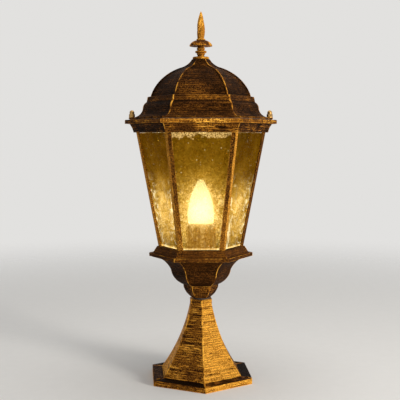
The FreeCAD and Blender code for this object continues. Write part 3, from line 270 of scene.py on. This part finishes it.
def grain(place, cells, detail=2.0, roughness=0.5, twist=0.0):
    """Cloudy noise from 0 to 1, bent by twist. Cells is how many lie in a metre, or three such numbers."""
    if isinstance(cells, tuple):
        place = place.node("ShaderNodeVectorMath", {"operation": "MULTIPLY"}, {0: place, 1: cells})
        cells = 1.0
    return place.node("ShaderNodeTexNoise", None, {
        "Vector": place, "Scale": cells, "Detail": detail, "Roughness": roughness, "Distortion": twist})


def new_finish(name):
    """An empty material. Returns it with a wire that only carries its tree."""
    material = bpy.data.materials.new(name)
    material.use_nodes = True
    material.node_tree.nodes.clear()
    return material, Wire(material.node_tree)


def surface(start, values):
    """Principled surface with these values, joined to the material's output."""
    shader = start.node("ShaderNodeBsdfPrincipled", None, values)
    start.node("ShaderNodeOutputMaterial", None, {"Surface": shader})


def relief(height, strength, depth):
    """Normal of a surface whose height varies by depth metres."""
    return height.node("ShaderNodeBump", None, {"Height": height, "Strength": strength, "Distance": depth},
                       out="Normal")


def along_headings(place, first, step):
    """Distances of a place along three level headings: the first, and two more a step apart, in degrees."""
    headings = [math.radians(first + step * k) for k in range(3)]
    return [along(place, (math.cos(a), math.sin(a), 0.0)) for a in headings]


def corner_distance(place, turn):
    """Distance from the nearest corner line of a six-sided casting.

    The three pairs of flats give three distances from the axis. On a hexagon the largest of them is the
    sum of the other two, and the smallest, times 2 / root 3, is how far a place lies from the corner on
    its face.
    """
    first, second, third = [abs(gap) for gap in along_headings(place, turn - FRONT, SIDE_STEP)]
    return lesser(lesser(first, second), third) * (2.0 / math.sqrt(3.0))


def face_side(place, turn):
    """Above 0 on a six-sided casting's first face and every second one, below 0 on those between them.

    Of a place's distances along the headings of the first, third and fifth face, the largest and the
    smallest are added. On the corner line between two faces they are equal and opposite.
    """
    first, second, third = along_headings(place, FRONT + turn, 2.0 * SIDE_STEP)
    return either(either(first, second), third) + lesser(lesser(first, second), third)


def dry_brushed(name, low, high, turn=HEAD_TURN, stroke=0.6, speck=620.0, line=0.9, width=0.0007,
                bands=(), broad=None, shade=0.80, patchy=0.65, faces=None, shaded=None):
    """Black-brown paint with antique gold brushed over it.

    The tone runs from low, 0 being bare paint, to high, 1 being thick gold. Gold lies where the larger of
    two masks is high: specks, or level brush lines, which are a sine of the height that wanders a little
    and is broken by noise. Wider faint strokes add to it and long level scores take from it. Stroke is how
    strong these lines are, and by the share patchy the gold is thinner in broad patches.

    Each band (heights, shift) shifts the tone between two heights. Faces (first, between) shifts it on the
    first face and every second one, and on those between them: painted light and shade, like lit faces
    and faces in shade. Shaded gives the heights over which the first faces' shift grows. Recesses, found
    by rays outside the casting, are darker by up to shade: painted shade.

    Corner lines of that width, and every outside arris, found by short rays inside the casting, go up to
    line where the brush touched them. Between the two heights of broad the corner lines are wider. With no
    width the brush touched the whole casting.
    """
    material, start = new_finish(name)
    place = start.node("ShaderNodeTexCoord", out="Object")
    up = along(place, (0.0, 0.0, 1.0))
    wander = up + (grain(place, 24.0, 3.0, 0.6) - 0.5) * BRUSH_WANDER
    ribs = rise(wander.maths("SINE", wander * (2.0 * math.pi / BRUSH_PITCH)), -0.1, 0.8)
    ribs = ribs * rise(grain(place, BROKEN_STROKES, 3.0, 0.65), 0.42, 0.60)
    scores = rise(grain(place, LONG_SCORES, 2.0, 0.5), 0.56, 0.68)
    streak = rise(grain(place, WIDE_STROKES, 3.0, 0.65), 0.46, 0.62)
    stipple = grain(place, speck, 3.0, 0.75)
    specks = rise(stipple, 0.46, 0.60)
    pits = grain(place, 300.0, 2.0, 0.55)
    patch = rise(grain(place, 40.0, 3.0, 0.55), 0.34, 0.66)
    touch = rise(grain(place, 75.0, 2.0, 0.5), 0.36, 0.60)

    gold = either(specks * 0.75, ribs * (0.35 + 0.65 * stroke)) + streak * (0.20 * stroke)
    tone = low + gold * (1.0 - patchy + patch * patchy) * (high - low) - scores * (0.34 * stroke * high)
    for (foot, head), shift in bands:
        above = rise(up, foot - BAND_SOFTNESS, foot + BAND_SOFTNESS)
        tone = tone + above * fall(up, head - BAND_SOFTNESS, head + BAND_SOFTNESS) * shift
    # Painted light and shade: the first faces and those between made lighter and darker, like lit and unlit
    # faces
    if faces:
        side = rise(face_side(place, turn), -CORNER_SOFTNESS, CORNER_SOFTNESS)
        tone = tone + faces[1] * (1 - side)
        tone = tone + faces[0] * (side * rise(up, *shaded) if shaded else side)
    # Painted shade: darker in recesses, where short rays outside the casting are blocked
    outside = start.node("ShaderNodeAmbientOcclusion", {"only_local": True, "samples": 6},
                         {"Distance": RECESS_REACH}, out="AO")
    tone = tone * (1.0 - fall(outside, 0.20, 0.75) * shade)

    inside = start.node("ShaderNodeAmbientOcclusion", {"inside": True, "only_local": True, "samples": 8},
                        {"Distance": ARRIS_REACH}, out="AO")
    worn = fall(inside, 0.50, 0.85) * (0.50 + touch * 0.50)
    corner = 0.35 + touch * 0.65
    if broad:
        foot, head = broad
        width = width + rise(up, foot, foot + 0.006) * fall(up, head - 0.003, head) * BROAD_GAIN
    if width:
        corner = corner * fall(corner_distance(place, turn) / width, 0.5, 1.0)
    tone = either(tone, either(worn, corner) * (0.45 + rise(stipple + pits, 0.76, 1.04) * 0.55) * line)
    surface(start, {
        "Base Color": start.node("ShaderNodeValToRGB", {"stops": PAINT_TO_GOLD}, {"Fac": tone}),
        "Metallic": tone * 0.40,
        "Roughness": 0.54 - tone * 0.20 + (pits - 0.5) * 0.24,
        "Specular IOR Level": 0.015,
        "Specular Tint": (1.0, 0.60, 0.30, 1.0),
        "Normal": relief(specks * 0.6 + ribs * 0.5 + pits * 0.6, 0.70, CAST_RELIEF),
    })
    return material


def plain_finish(name, first, second, cells, rough, metal=0.0, depth=0.0):
    """Two close tones mixed by cloudy noise, which also varies the roughness and gives a slight relief."""
    material, start = new_finish(name)
    cloud = grain(start.node("ShaderNodeTexCoord", out="Object"), cells, 4.0, 0.6)
    values = {
        "Base Color": mixed(rise(cloud, 0.3, 0.7), first, second),
        "Metallic": metal,
        "Roughness": rough + (cloud - 0.5) * 0.25,
    }
    if depth:
        values["Normal"] = relief(cloud, 0.35, depth)
    surface(start, values)
    return material


def lamp_glass():
    """Opal lamp glass, lit from within: cool white, and warmer towards the holder."""
    material, start = new_finish("lit_opal_glass")
    place = start.node("ShaderNodeTexCoord", out="Object")
    up = along(place, (0.0, 0.0, 1.0))
    cloud = grain(place, 160.0)
    warm = fall(up, HOLDER_RIM - 0.012, HOLDER_RIM + 0.014) * 0.75 + (cloud - 0.5) * 0.10
    surface(start, {
        "Base Color": mixed(cloud, (0.90, 0.88, 0.82), (0.80, 0.77, 0.70)),
        "Roughness": 0.30 + cloud * 0.12,
        "Emission Color": mixed(warm, (0.72, 0.86, 1.0), (1.0, 0.86, 0.66)),
        "Emission Strength": 3.0,
    })
    return material


def amber_glass():
    """Amber stained glass: mottled tint, and the lamp's light caught in it.

    The painted light grows towards the foot of the pane and in a halo about the lamp, with wisps,
    threads and fine speckle in it. On the front pane these fade out before the lamp, and a painted shadow
    of the holder, a dim patch with upright streaks, lies before it. Near the lamp the tint is lighter, a
    painted highlight. The other panes are darkened and browned in patches, painted shade, and wavy veins
    low down beside their bars are lit with painted light. Small bubbles have painted glints, a thin
    painted highlight runs along the foot, and a ragged cream strip of painted light lies at the head,
    standing for the lit ring and roof inside seen through the glass. Across and up are the pane's own
    coordinates, in metres, and its number shifts the noise.
    """
    material, start = new_finish("amber_stained_glass")
    spread = start.node("ShaderNodeUVMap", {"uv_map": "pane"})
    across = along(spread, (1.0, 0.0, 0.0))
    up = along(spread, (0.0, 1.0, 0.0))
    number = start.node("ShaderNodeAttribute", {"attribute_name": "pane_number"}, out="Fac")
    strip = start.node("ShaderNodeAttribute", {"attribute_name": "bare_strip"}, out="Fac")
    others = rise(number, 0.1, 0.2)
    flat = start.node("ShaderNodeCombineXYZ", None, {"X": across, "Y": up, "Z": number})
    mottle = rise(grain(flat, 120.0, 4.0, 0.65), 0.38, 0.62)
    fine = rise(grain(flat, 600.0, 3.0, 0.7), 0.36, 0.64)
    shade_patches = rise(grain(flat, SHADE_PATCHES, 3.0, 0.6), 0.38, 0.62)
    wisp = grain(flat, 70.0, 5.0, 0.65, 1.8)
    thread = grain(flat, 150.0, 3.0, 0.6, 1.4)

    # Painted light: foot and halo, then their texture, then the holder's painted shadow
    beside = across / HALO_ACROSS
    above = (up - (LAMP_MIDDLE - SILL_HEIGHT) / math.cos(LEAN)) / HALO_UP
    near = 1.0 / (1.0 + beside * beside + above * above)
    low = fall(up, *FOOT_GLOW)
    glow = (0.06 + low * 0.16 + near * near * 0.46 + near * 0.12) * (1.0 - others * (0.22 + shade_patches * 0.32))
    calm = rise(near, 0.58, 0.94) * (1 - others) * 0.8
    texture = 0.54 + rise(wisp, 0.40, 0.60) * 0.40 + mottle * 0.22 + fall(abs(thread - 0.5), 0.004, 0.028)
    glow = glow * (texture * (1 - calm) + calm * 1.02)
    holder_shadow = fall(abs(across), *HOLDER_SHADOW_ACROSS) * fall(up, *HOLDER_SHADOW_UP) * (1 - others)
    streaks = rise(grain(flat, HOLDER_SHADOW_STREAKS, 2.0, 0.6), 0.36, 0.64)
    speckle = (fine - 0.5) * (0.08 + low * 0.20 + near * 0.10) * (1 - calm) * (1.0 - holder_shadow * 0.7)
    glow = (glow + speckle) * (1.0 - holder_shadow * (0.06 + streaks * 0.36))

    # Veins and bubbles for painted glints, and the ragged strip of painted light at the head
    edge = FOOT_HALF + up * ((HEAD_HALF - FOOT_HALF) / SLANT) - abs(across)
    wave = grain(flat, VEIN_WAVES, 2.0, 0.5, 1.1)
    vein = fall(abs(wave.maths("SINE", wave * (2.0 * math.pi * 3.0))), 0.10, 0.42) * fall(up, *VEIN_UP)
    vein = vein * (0.30 + fall(edge, *VEIN_EDGE) * 0.70) * (0.12 + others * 0.88)
    cells = {"Vector": flat, "Scale": BUBBLE_CELLS}
    distance = start.node("ShaderNodeTexVoronoi", None, cells, out="Distance")
    chance = along(start.node("ShaderNodeTexVoronoi", None, cells, out="Color"), (1.0, 0.0, 0.0))
    bubble = fall(distance, 0.07, 0.18) * rise(chance, 0.68, 0.76)
    reach = SLANT - strip * (0.30 + rise(grain(flat, 130.0, 4.0, 0.7), 0.30, 0.70) * 1.1)
    # Painted light: the ragged strip at the head, the lit ring and roof inside seen through the glass
    bare = rise(up, reach, reach + STRIP_SOFTNESS) * rise(fine, 0.10, 0.70)

    # Tint: painted shade on the other panes, a painted highlight near the lamp, and the painted lit strip
    tint = mixed(mottle, PALE_AMBER, DEEP_AMBER)
    tint = mixed(others * (0.25 + shade_patches * 0.50), tint, SHADED_BROWN)
    tint = mixed(rise(near, 0.30, 0.90), tint, LAMPLIT_AMBER)
    tint = mixed(bare, tint, LIT_STRIP_TINT)
    # Painted light: the glow and a bright line at the foot, the holder's painted shadow, glints, the lit
    # strip
    glow = glow + fall(up, *FOOT_LINE) * 0.5
    light = start.node("ShaderNodeValToRGB", {"stops": CAUGHT_LIGHT}, {"Fac": glow})
    light = mixed(holder_shadow * 0.35, light, HOLDER_SHADOW_LIGHT)
    light = mixed(either(bubble * (0.45 - others * 0.12), vein * 0.85), light, SPARK_LIGHT)
    light = mixed(bare * 0.80, light, LIT_STRIP_LIGHT)
    common = {
        "Base Color": tint,
        "Transmission Weight": 1.0,
        "IOR": 1.03,
        "Specular IOR Level": 0.0,
        "Emission Color": light,
        "Emission Strength": 0.9,
    }
    rolled = {"Roughness": 0.06 + mottle * 0.08, "Normal": relief(thread + wisp, 0.4, GLASS_RELIEF)}
    clear = start.node("ShaderNodeBsdfPrincipled", None, {**common, **rolled})
    milky = start.node("ShaderNodeBsdfPrincipled", None, {**common, "Roughness": 1.0})
    both = start.node("ShaderNodeMixShader", None, {0: 0.20 + mottle * 0.25, 1: clear, 2: milky})
    start.node("ShaderNodeOutputMaterial", None, {"Surface": both})
    return material


def ripples(across, up, seed):
    """Rolled face of the glass, from 0 to 1: a sum of plane waves of seeded headings, lengths and phases."""
    dice = np.random.default_rng(seed)
    heading = dice.uniform(0.0, math.pi, RIPPLE_WAVES)
    length = dice.uniform(*RIPPLE_LENGTHS, RIPPLE_WAVES)
    phase = dice.uniform(0.0, 2.0 * math.pi, RIPPLE_WAVES)
    run = across[..., None] * np.cos(heading) + up[..., None] * np.sin(heading)
    wave = np.sin(2.0 * math.pi * run / length + phase) * np.sqrt(length)
    total = wave.sum(axis=-1)
    return (total - total.min()) / (total.max() - total.min())


def slab_mesh(name, outer, inner):
    """Closed slab from two grids of the same rows and columns: the outer face, the inner face turned the
    other way, and a strip of quads along each of the four borders."""
    rows, columns = outer.shape[:2]
    index = np.arange(rows * columns).reshape(rows, columns)
    back = index + rows * columns

    def quads(a, b, c, d):
        return np.stack([a, b, c, d], axis=-1).reshape(-1, 4)

    faces = np.concatenate([
        quads(index[:-1, :-1], index[:-1, 1:], index[1:, 1:], index[1:, :-1]),
        quads(back[:-1, :-1], back[1:, :-1], back[1:, 1:], back[:-1, 1:]),
        quads(index[0, 1:], index[0, :-1], back[0, :-1], back[0, 1:]),
        quads(index[-1, :-1], index[-1, 1:], back[-1, 1:], back[-1, :-1]),
        quads(index[:-1, 0], index[1:, 0], back[1:, 0], back[:-1, 0]),
        quads(index[1:, -1], index[:-1, -1], back[:-1, -1], back[1:, -1]),
    ])
    mesh = bpy.data.meshes.new(name)
    points = np.concatenate([outer.reshape(-1, 3), inner.reshape(-1, 3)])
    mesh.from_pydata(points.tolist(), [], faces.tolist())
    mesh.update()
    mesh.polygons.foreach_set("use_smooth", np.arange(len(faces)) < 2 * (rows - 1) * (columns - 1))
    return mesh


def make_pane(number, finish):
    """Rippled pane. A place s across and t up lies at the foot of the glass, plus s along the level
    direction of the face, plus t along its slant. The outer face then gives way inwards by its ripples, and
    the inner face lies a thickness further in, less its own ripples."""
    name = "glass_pane_%d" % (number + 1)
    heading = math.radians(FRONT + SIDE_STEP * number)
    outward = np.array([math.cos(heading), math.sin(heading), 0.0])
    level = np.array([-math.sin(heading), math.cos(heading), 0.0])
    upright = np.array([0.0, 0.0, 1.0])
    slant = math.sin(LEAN) * outward + math.cos(LEAN) * upright
    face = math.cos(LEAN) * outward - math.sin(LEAN) * upright
    up = np.linspace(GLASS_GAP, SLANT - GLASS_GAP, PANE_ROWS)[:, None]
    half = FOOT_HALF + (HEAD_HALF - FOOT_HALF) * (up - GLASS_GAP) / (SLANT - 2.0 * GLASS_GAP)
    across = np.linspace(-1.0, 1.0, PANE_COLUMNS)[None, :] * half
    up = np.broadcast_to(up, across.shape)
    foot = outward * GLASS_FOOT + upright * SILL_HEIGHT
    plane = foot + level * across[..., None] + slant * up[..., None]
    outer = OUTER_RIPPLE * ripples(across, up, OUTER_SEED + number)
    inner = GLASS_THICK - INNER_RIPPLE * ripples(across, up, INNER_SEED + number)
    mesh = slab_mesh(name + "_rippled", plane - face * outer[..., None], plane - face * inner[..., None])
    spread = np.tile(np.stack([across, up], axis=-1).reshape(-1, 2), (2, 1))
    corner = np.empty(len(mesh.loops), dtype=np.int32)
    mesh.loops.foreach_get("vertex_index", corner)
    mesh.uv_layers.new(name="pane").data.foreach_set("uv", spread[corner].ravel())
    # Depth of the ragged strip of painted light at the head
    strip = OTHER_LIT_STRIP if number else FRONT_LIT_STRIP
    for key, value in (("pane_number", PATTERN_SHIFT * number), ("bare_strip", strip)):
        attribute = mesh.attributes.new(key, "FLOAT", "POINT")
        attribute.data.foreach_set("value", np.full(len(mesh.vertices), value))
    mesh.materials.append(finish)
    pane = bpy.data.objects.new(name + "_rippled", mesh)
    bpy.context.scene.collection.objects.link(pane)
    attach(pane, "head")
    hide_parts(name)


def dress(finish, *names):
    """Gives a finish to CAD nodes."""
    for name in names:
        mesh = NODES[name].data
        mesh.materials.clear()
        mesh.materials.append(finish)


def dress_castings():
    """Brushed gold on the castings, with painted light and shade on alternate faces and on the bars."""
    # Painted light on the pedestal's first faces and painted shade on those between; its plinth step is
    # painted shade
    dress(dry_brushed("gilt_pedestal", 0.33, 1.18, turn=FOOT_TURN, stroke=0.9, speck=950.0, line=1.0,
                      width=0.0017, patchy=0.35, bands=[(PLINTH_STEP, -0.7)], faces=(0.19, -0.20)),
          "pedestal")
    dress(dry_brushed("gilt_collar", 0.08, 0.74, line=1.0), "neck_collar")
    # Painted shade on the pan's faces between the first ones
    dress(dry_brushed("dark_pan", 0.10, 0.44, stroke=0.7, line=1.0, width=0.0008, patchy=0.35,
                      bands=[(PAN_RIM, 0.10), (PAN_SILL, 0.15)], faces=(0.0, -0.05)), "pan")
    bars = ["corner_bar_%d" % (k + 1) for k in range(SIDES)]
    # Painted light and shade on the bars: first wings darker towards the top, wings between them lighter
    dress(dry_brushed("speckled_bars", 0.34, 1.08, stroke=0.1, speck=900.0, line=1.0, width=0.0006,
                      patchy=0.3, faces=(-0.27, 0.22), shaded=BAR_SHADE), *bars[1:])
    # Painted shade: the bar at the right darker all over and on its first wings
    dress(dry_brushed("darker_bar", 0.16, 0.72, stroke=0.1, speck=900.0, line=0.8, width=0.0006,
                      patchy=0.3, faces=(-0.10, 0.0), shaded=BAR_SHADE), bars[0])
    # Painted light on the ring's first faces and painted shade on those between
    dress(dry_brushed("brushed_cornice", 0.12, 0.98, stroke=0.8, line=1.0, width=0.0008,
                      bands=[(RING_RIM, 0.28)], faces=(0.03, -0.22)), "cage_ring")
    # Painted shade on the roof's faces between the first ones, and a painted shadow line at the band's foot
    dress(dry_brushed("dark_roof", 0.0, 0.60, stroke=0.7, speck=880.0, width=0.0010, patchy=0.45,
                      bands=[(ROOF_BAND, 0.16), (BAND_FOOT_LINE, -0.3)], broad=BROAD_RIDGES,
                      faces=(0.0, -0.07)), "roof")
    dress(dry_brushed("gilt_finial", 0.30, 0.62, stroke=0.1, width=None, shade=0.40,
                      bands=[(FINIAL_COLLAR, 0.30), (FINIAL_BEADS, 0.34), (FINIAL_DISC, -0.12),
                             (FINIAL_DISC_HEAD, 0.45), (FINIAL_FLAME, 0.32)]), "finial")


def dress_fittings():
    """Finishes of the cap nuts, the lamp and everything inside."""
    dress(plain_finish("aged_brass", (0.55, 0.33, 0.10), (0.24, 0.13, 0.04), 420.0, 0.40,
                       metal=0.9, depth=0.0002),
          "acorn_nut_left", "acorn_nut_right", "captive_washer_left", "captive_washer_right")
    dress(plain_finish("zinc_plate", (0.56, 0.56, 0.54), (0.38, 0.39, 0.38), 300.0, 0.38,
                       metal=0.9, depth=0.0001),
          "threaded_tube", "lower_lock_nut", "lower_washer", "upper_lock_nut", "upper_washer",
          "roof_studs", "clip_screws", "finial_stud", "finial_nut", "finial_washer", "pane_clips",
          "terminal_screws")
    dress(plain_finish("contact_brass", (0.78, 0.52, 0.20), (0.62, 0.38, 0.13), 260.0, 0.30, metal=1.0),
          "earth_tag", "screw_shell", "centre_contact", "lamp_cap", "lamp_contact")
    dress(plain_finish("black_rubber", (0.020, 0.020, 0.020), (0.034, 0.033, 0.032), 900.0, 0.75,
                       depth=0.0001),
          "neck_seal", "roof_gasket")
    dress(plain_finish("brown_phenolic", (0.20, 0.095, 0.026), (0.040, 0.018, 0.007),
                       (300.0, 300.0, 30.0), 0.35),
          "holder_cap", "holder_shell")
    dress(plain_finish("white_ceramic", (0.78, 0.77, 0.73), (0.70, 0.68, 0.64), 200.0, 0.30),
          "holder_insert")
    dress(plain_finish("black_glass", (0.012, 0.012, 0.013), (0.025, 0.025, 0.027), 120.0, 0.18),
          "lamp_insulator")
    dress(lamp_glass(), "lamp_envelope")
    dress(plain_finish("terminal_plastic", (0.76, 0.75, 0.71), (0.69, 0.68, 0.64), 240.0, 0.45,
                       depth=0.0001),
          "terminal_block")
    for name, tone in LEAD_TONES.items():
        deep = tuple(0.75 * value for value in tone)
        dress(plain_finish(name + "_sheath", tone, deep, 500.0, 0.45, depth=0.0001), name)


def make_floor():
    """Pale round floor that fades into the surroundings: rings of points, closer together near the middle,
    joined by quads, and a fan of triangles that closes the pole."""
    rings, around = FLOOR_RINGS, FLOOR_AROUND
    radius = np.linspace(0.0, 1.0, rings + 1)[1:] ** FLOOR_CROWDING * FLOOR_RADIUS
    angle = np.linspace(0.0, 2.0 * math.pi, around, endpoint=False)
    rim = np.stack([np.outer(radius, np.cos(angle)), np.outer(radius, np.sin(angle)),
                    np.zeros((rings, around))], axis=-1).reshape(-1, 3)
    index = np.arange(rings * around).reshape(rings, around) + 1
    ahead = np.roll(index, -1, axis=1)
    strips = np.stack([index[:-1], index[1:], ahead[1:], ahead[:-1]], axis=-1).reshape(-1, 4)
    middle = np.stack([np.zeros(around, dtype=int), index[0], ahead[0]], axis=-1)
    mesh = bpy.data.meshes.new("floor")
    mesh.from_pydata([(0.0, 0.0, 0.0)] + rim.tolist(), [], strips.tolist() + middle.tolist())
    mesh.update()
    material, start = new_finish("pale_floor")
    place = start.node("ShaderNodeTexCoord", out="Object")
    board = start.node("ShaderNodeBsdfPrincipled", None, {
        "Base Color": mixed(grain(place, 60.0, 4.0, 0.6), (0.84, 0.83, 0.81), (0.80, 0.79, 0.77)),
        "Roughness": 0.8,
        "Specular IOR Level": 0.1,
    })
    away = place.node("ShaderNodeVectorMath", {"operation": "LENGTH"}, {0: place}, out="Value")
    clear = start.node("ShaderNodeBsdfTransparent")
    fading = start.node("ShaderNodeMixShader", None, {0: rise(away, *FLOOR_FADE), 1: board, 2: clear})
    start.node("ShaderNodeOutputMaterial", None, {"Surface": fading})
    mesh.materials.append(material)
    floor = bpy.data.objects.new("floor", mesh)
    bpy.context.scene.collection.objects.link(floor)


def make_world():
    """Pale surroundings: one level for what the camera, metal and glass see, a lower one as soft light."""
    world = bpy.data.worlds.new("pale_studio")
    bpy.context.scene.world = world
    world.use_nodes = True
    world.node_tree.nodes.clear()
    start = Wire(world.node_tree)
    camera, glossy, through = [start.node("ShaderNodeLightPath", out=kind) for kind in
                               ("Is Camera Ray", "Is Glossy Ray", "Is Transmission Ray")]
    seen = either(either(camera, glossy), through)
    back = start.node("ShaderNodeBackground", None, {
        "Color": (1.0, 0.99, 0.97, 1.0),
        "Strength": SOFT_LIGHT + seen * (SEEN_LIGHT - SOFT_LIGHT),
    })
    start.node("ShaderNodeOutputWorld", None, {"Surface": back})


def make_light(name, place, aim, size, watts, colour=(1.0, 1.0, 1.0)):
    """Round soft box at a place, turned to a point."""
    data = bpy.data.lights.new(name, "AREA")
    data.shape = "DISK"
    data.size = size
    data.energy = watts
    data.color = colour
    lamp = bpy.data.objects.new(name, data)
    lamp.location = place
    turned = np.array(aim) - np.array(place)
    lamp.rotation_euler = (math.atan2(math.hypot(turned[0], turned[1]), -turned[2]), 0.0,
                           math.atan2(turned[1], turned[0]) - math.pi / 2.0)
    lamp.visible_camera = False
    bpy.context.scene.collection.objects.link(lamp)


def make_camera(place, down, right, lens, shift):
    """The photograph's view, from the front, turned down and right by some degrees."""
    data = bpy.data.cameras.new("view")
    data.sensor_width = 36.0
    data.lens = lens
    data.shift_x = shift
    data.clip_start = 0.01
    camera = bpy.data.objects.new("view", data)
    camera.location = place
    camera.rotation_euler = (math.radians(90.0 - down), 0.0, math.radians(-right))
    bpy.context.scene.collection.objects.link(camera)
    bpy.context.scene.camera = camera


dress_castings()
dress_fittings()
stained = amber_glass()
for pane_number in range(SIDES):
    make_pane(pane_number, stained)
make_floor()
make_world()
make_light("key", place=(1.62, -1.50, 0.45), aim=(0.0, 0.0, 0.20), size=0.70, watts=56.0,
           colour=(1.0, 0.96, 0.90))
make_light("overhead", place=(0.10, 0.05, 1.5), aim=(0.0, 0.0, 0.2), size=1.2, watts=10.0)
make_camera(place=(-0.0105, -1.0735, 0.3234), down=4.37, right=0.56, lens=72.35, shift=-0.0022)
bpy.context.scene.view_settings.view_transform = "Standard"
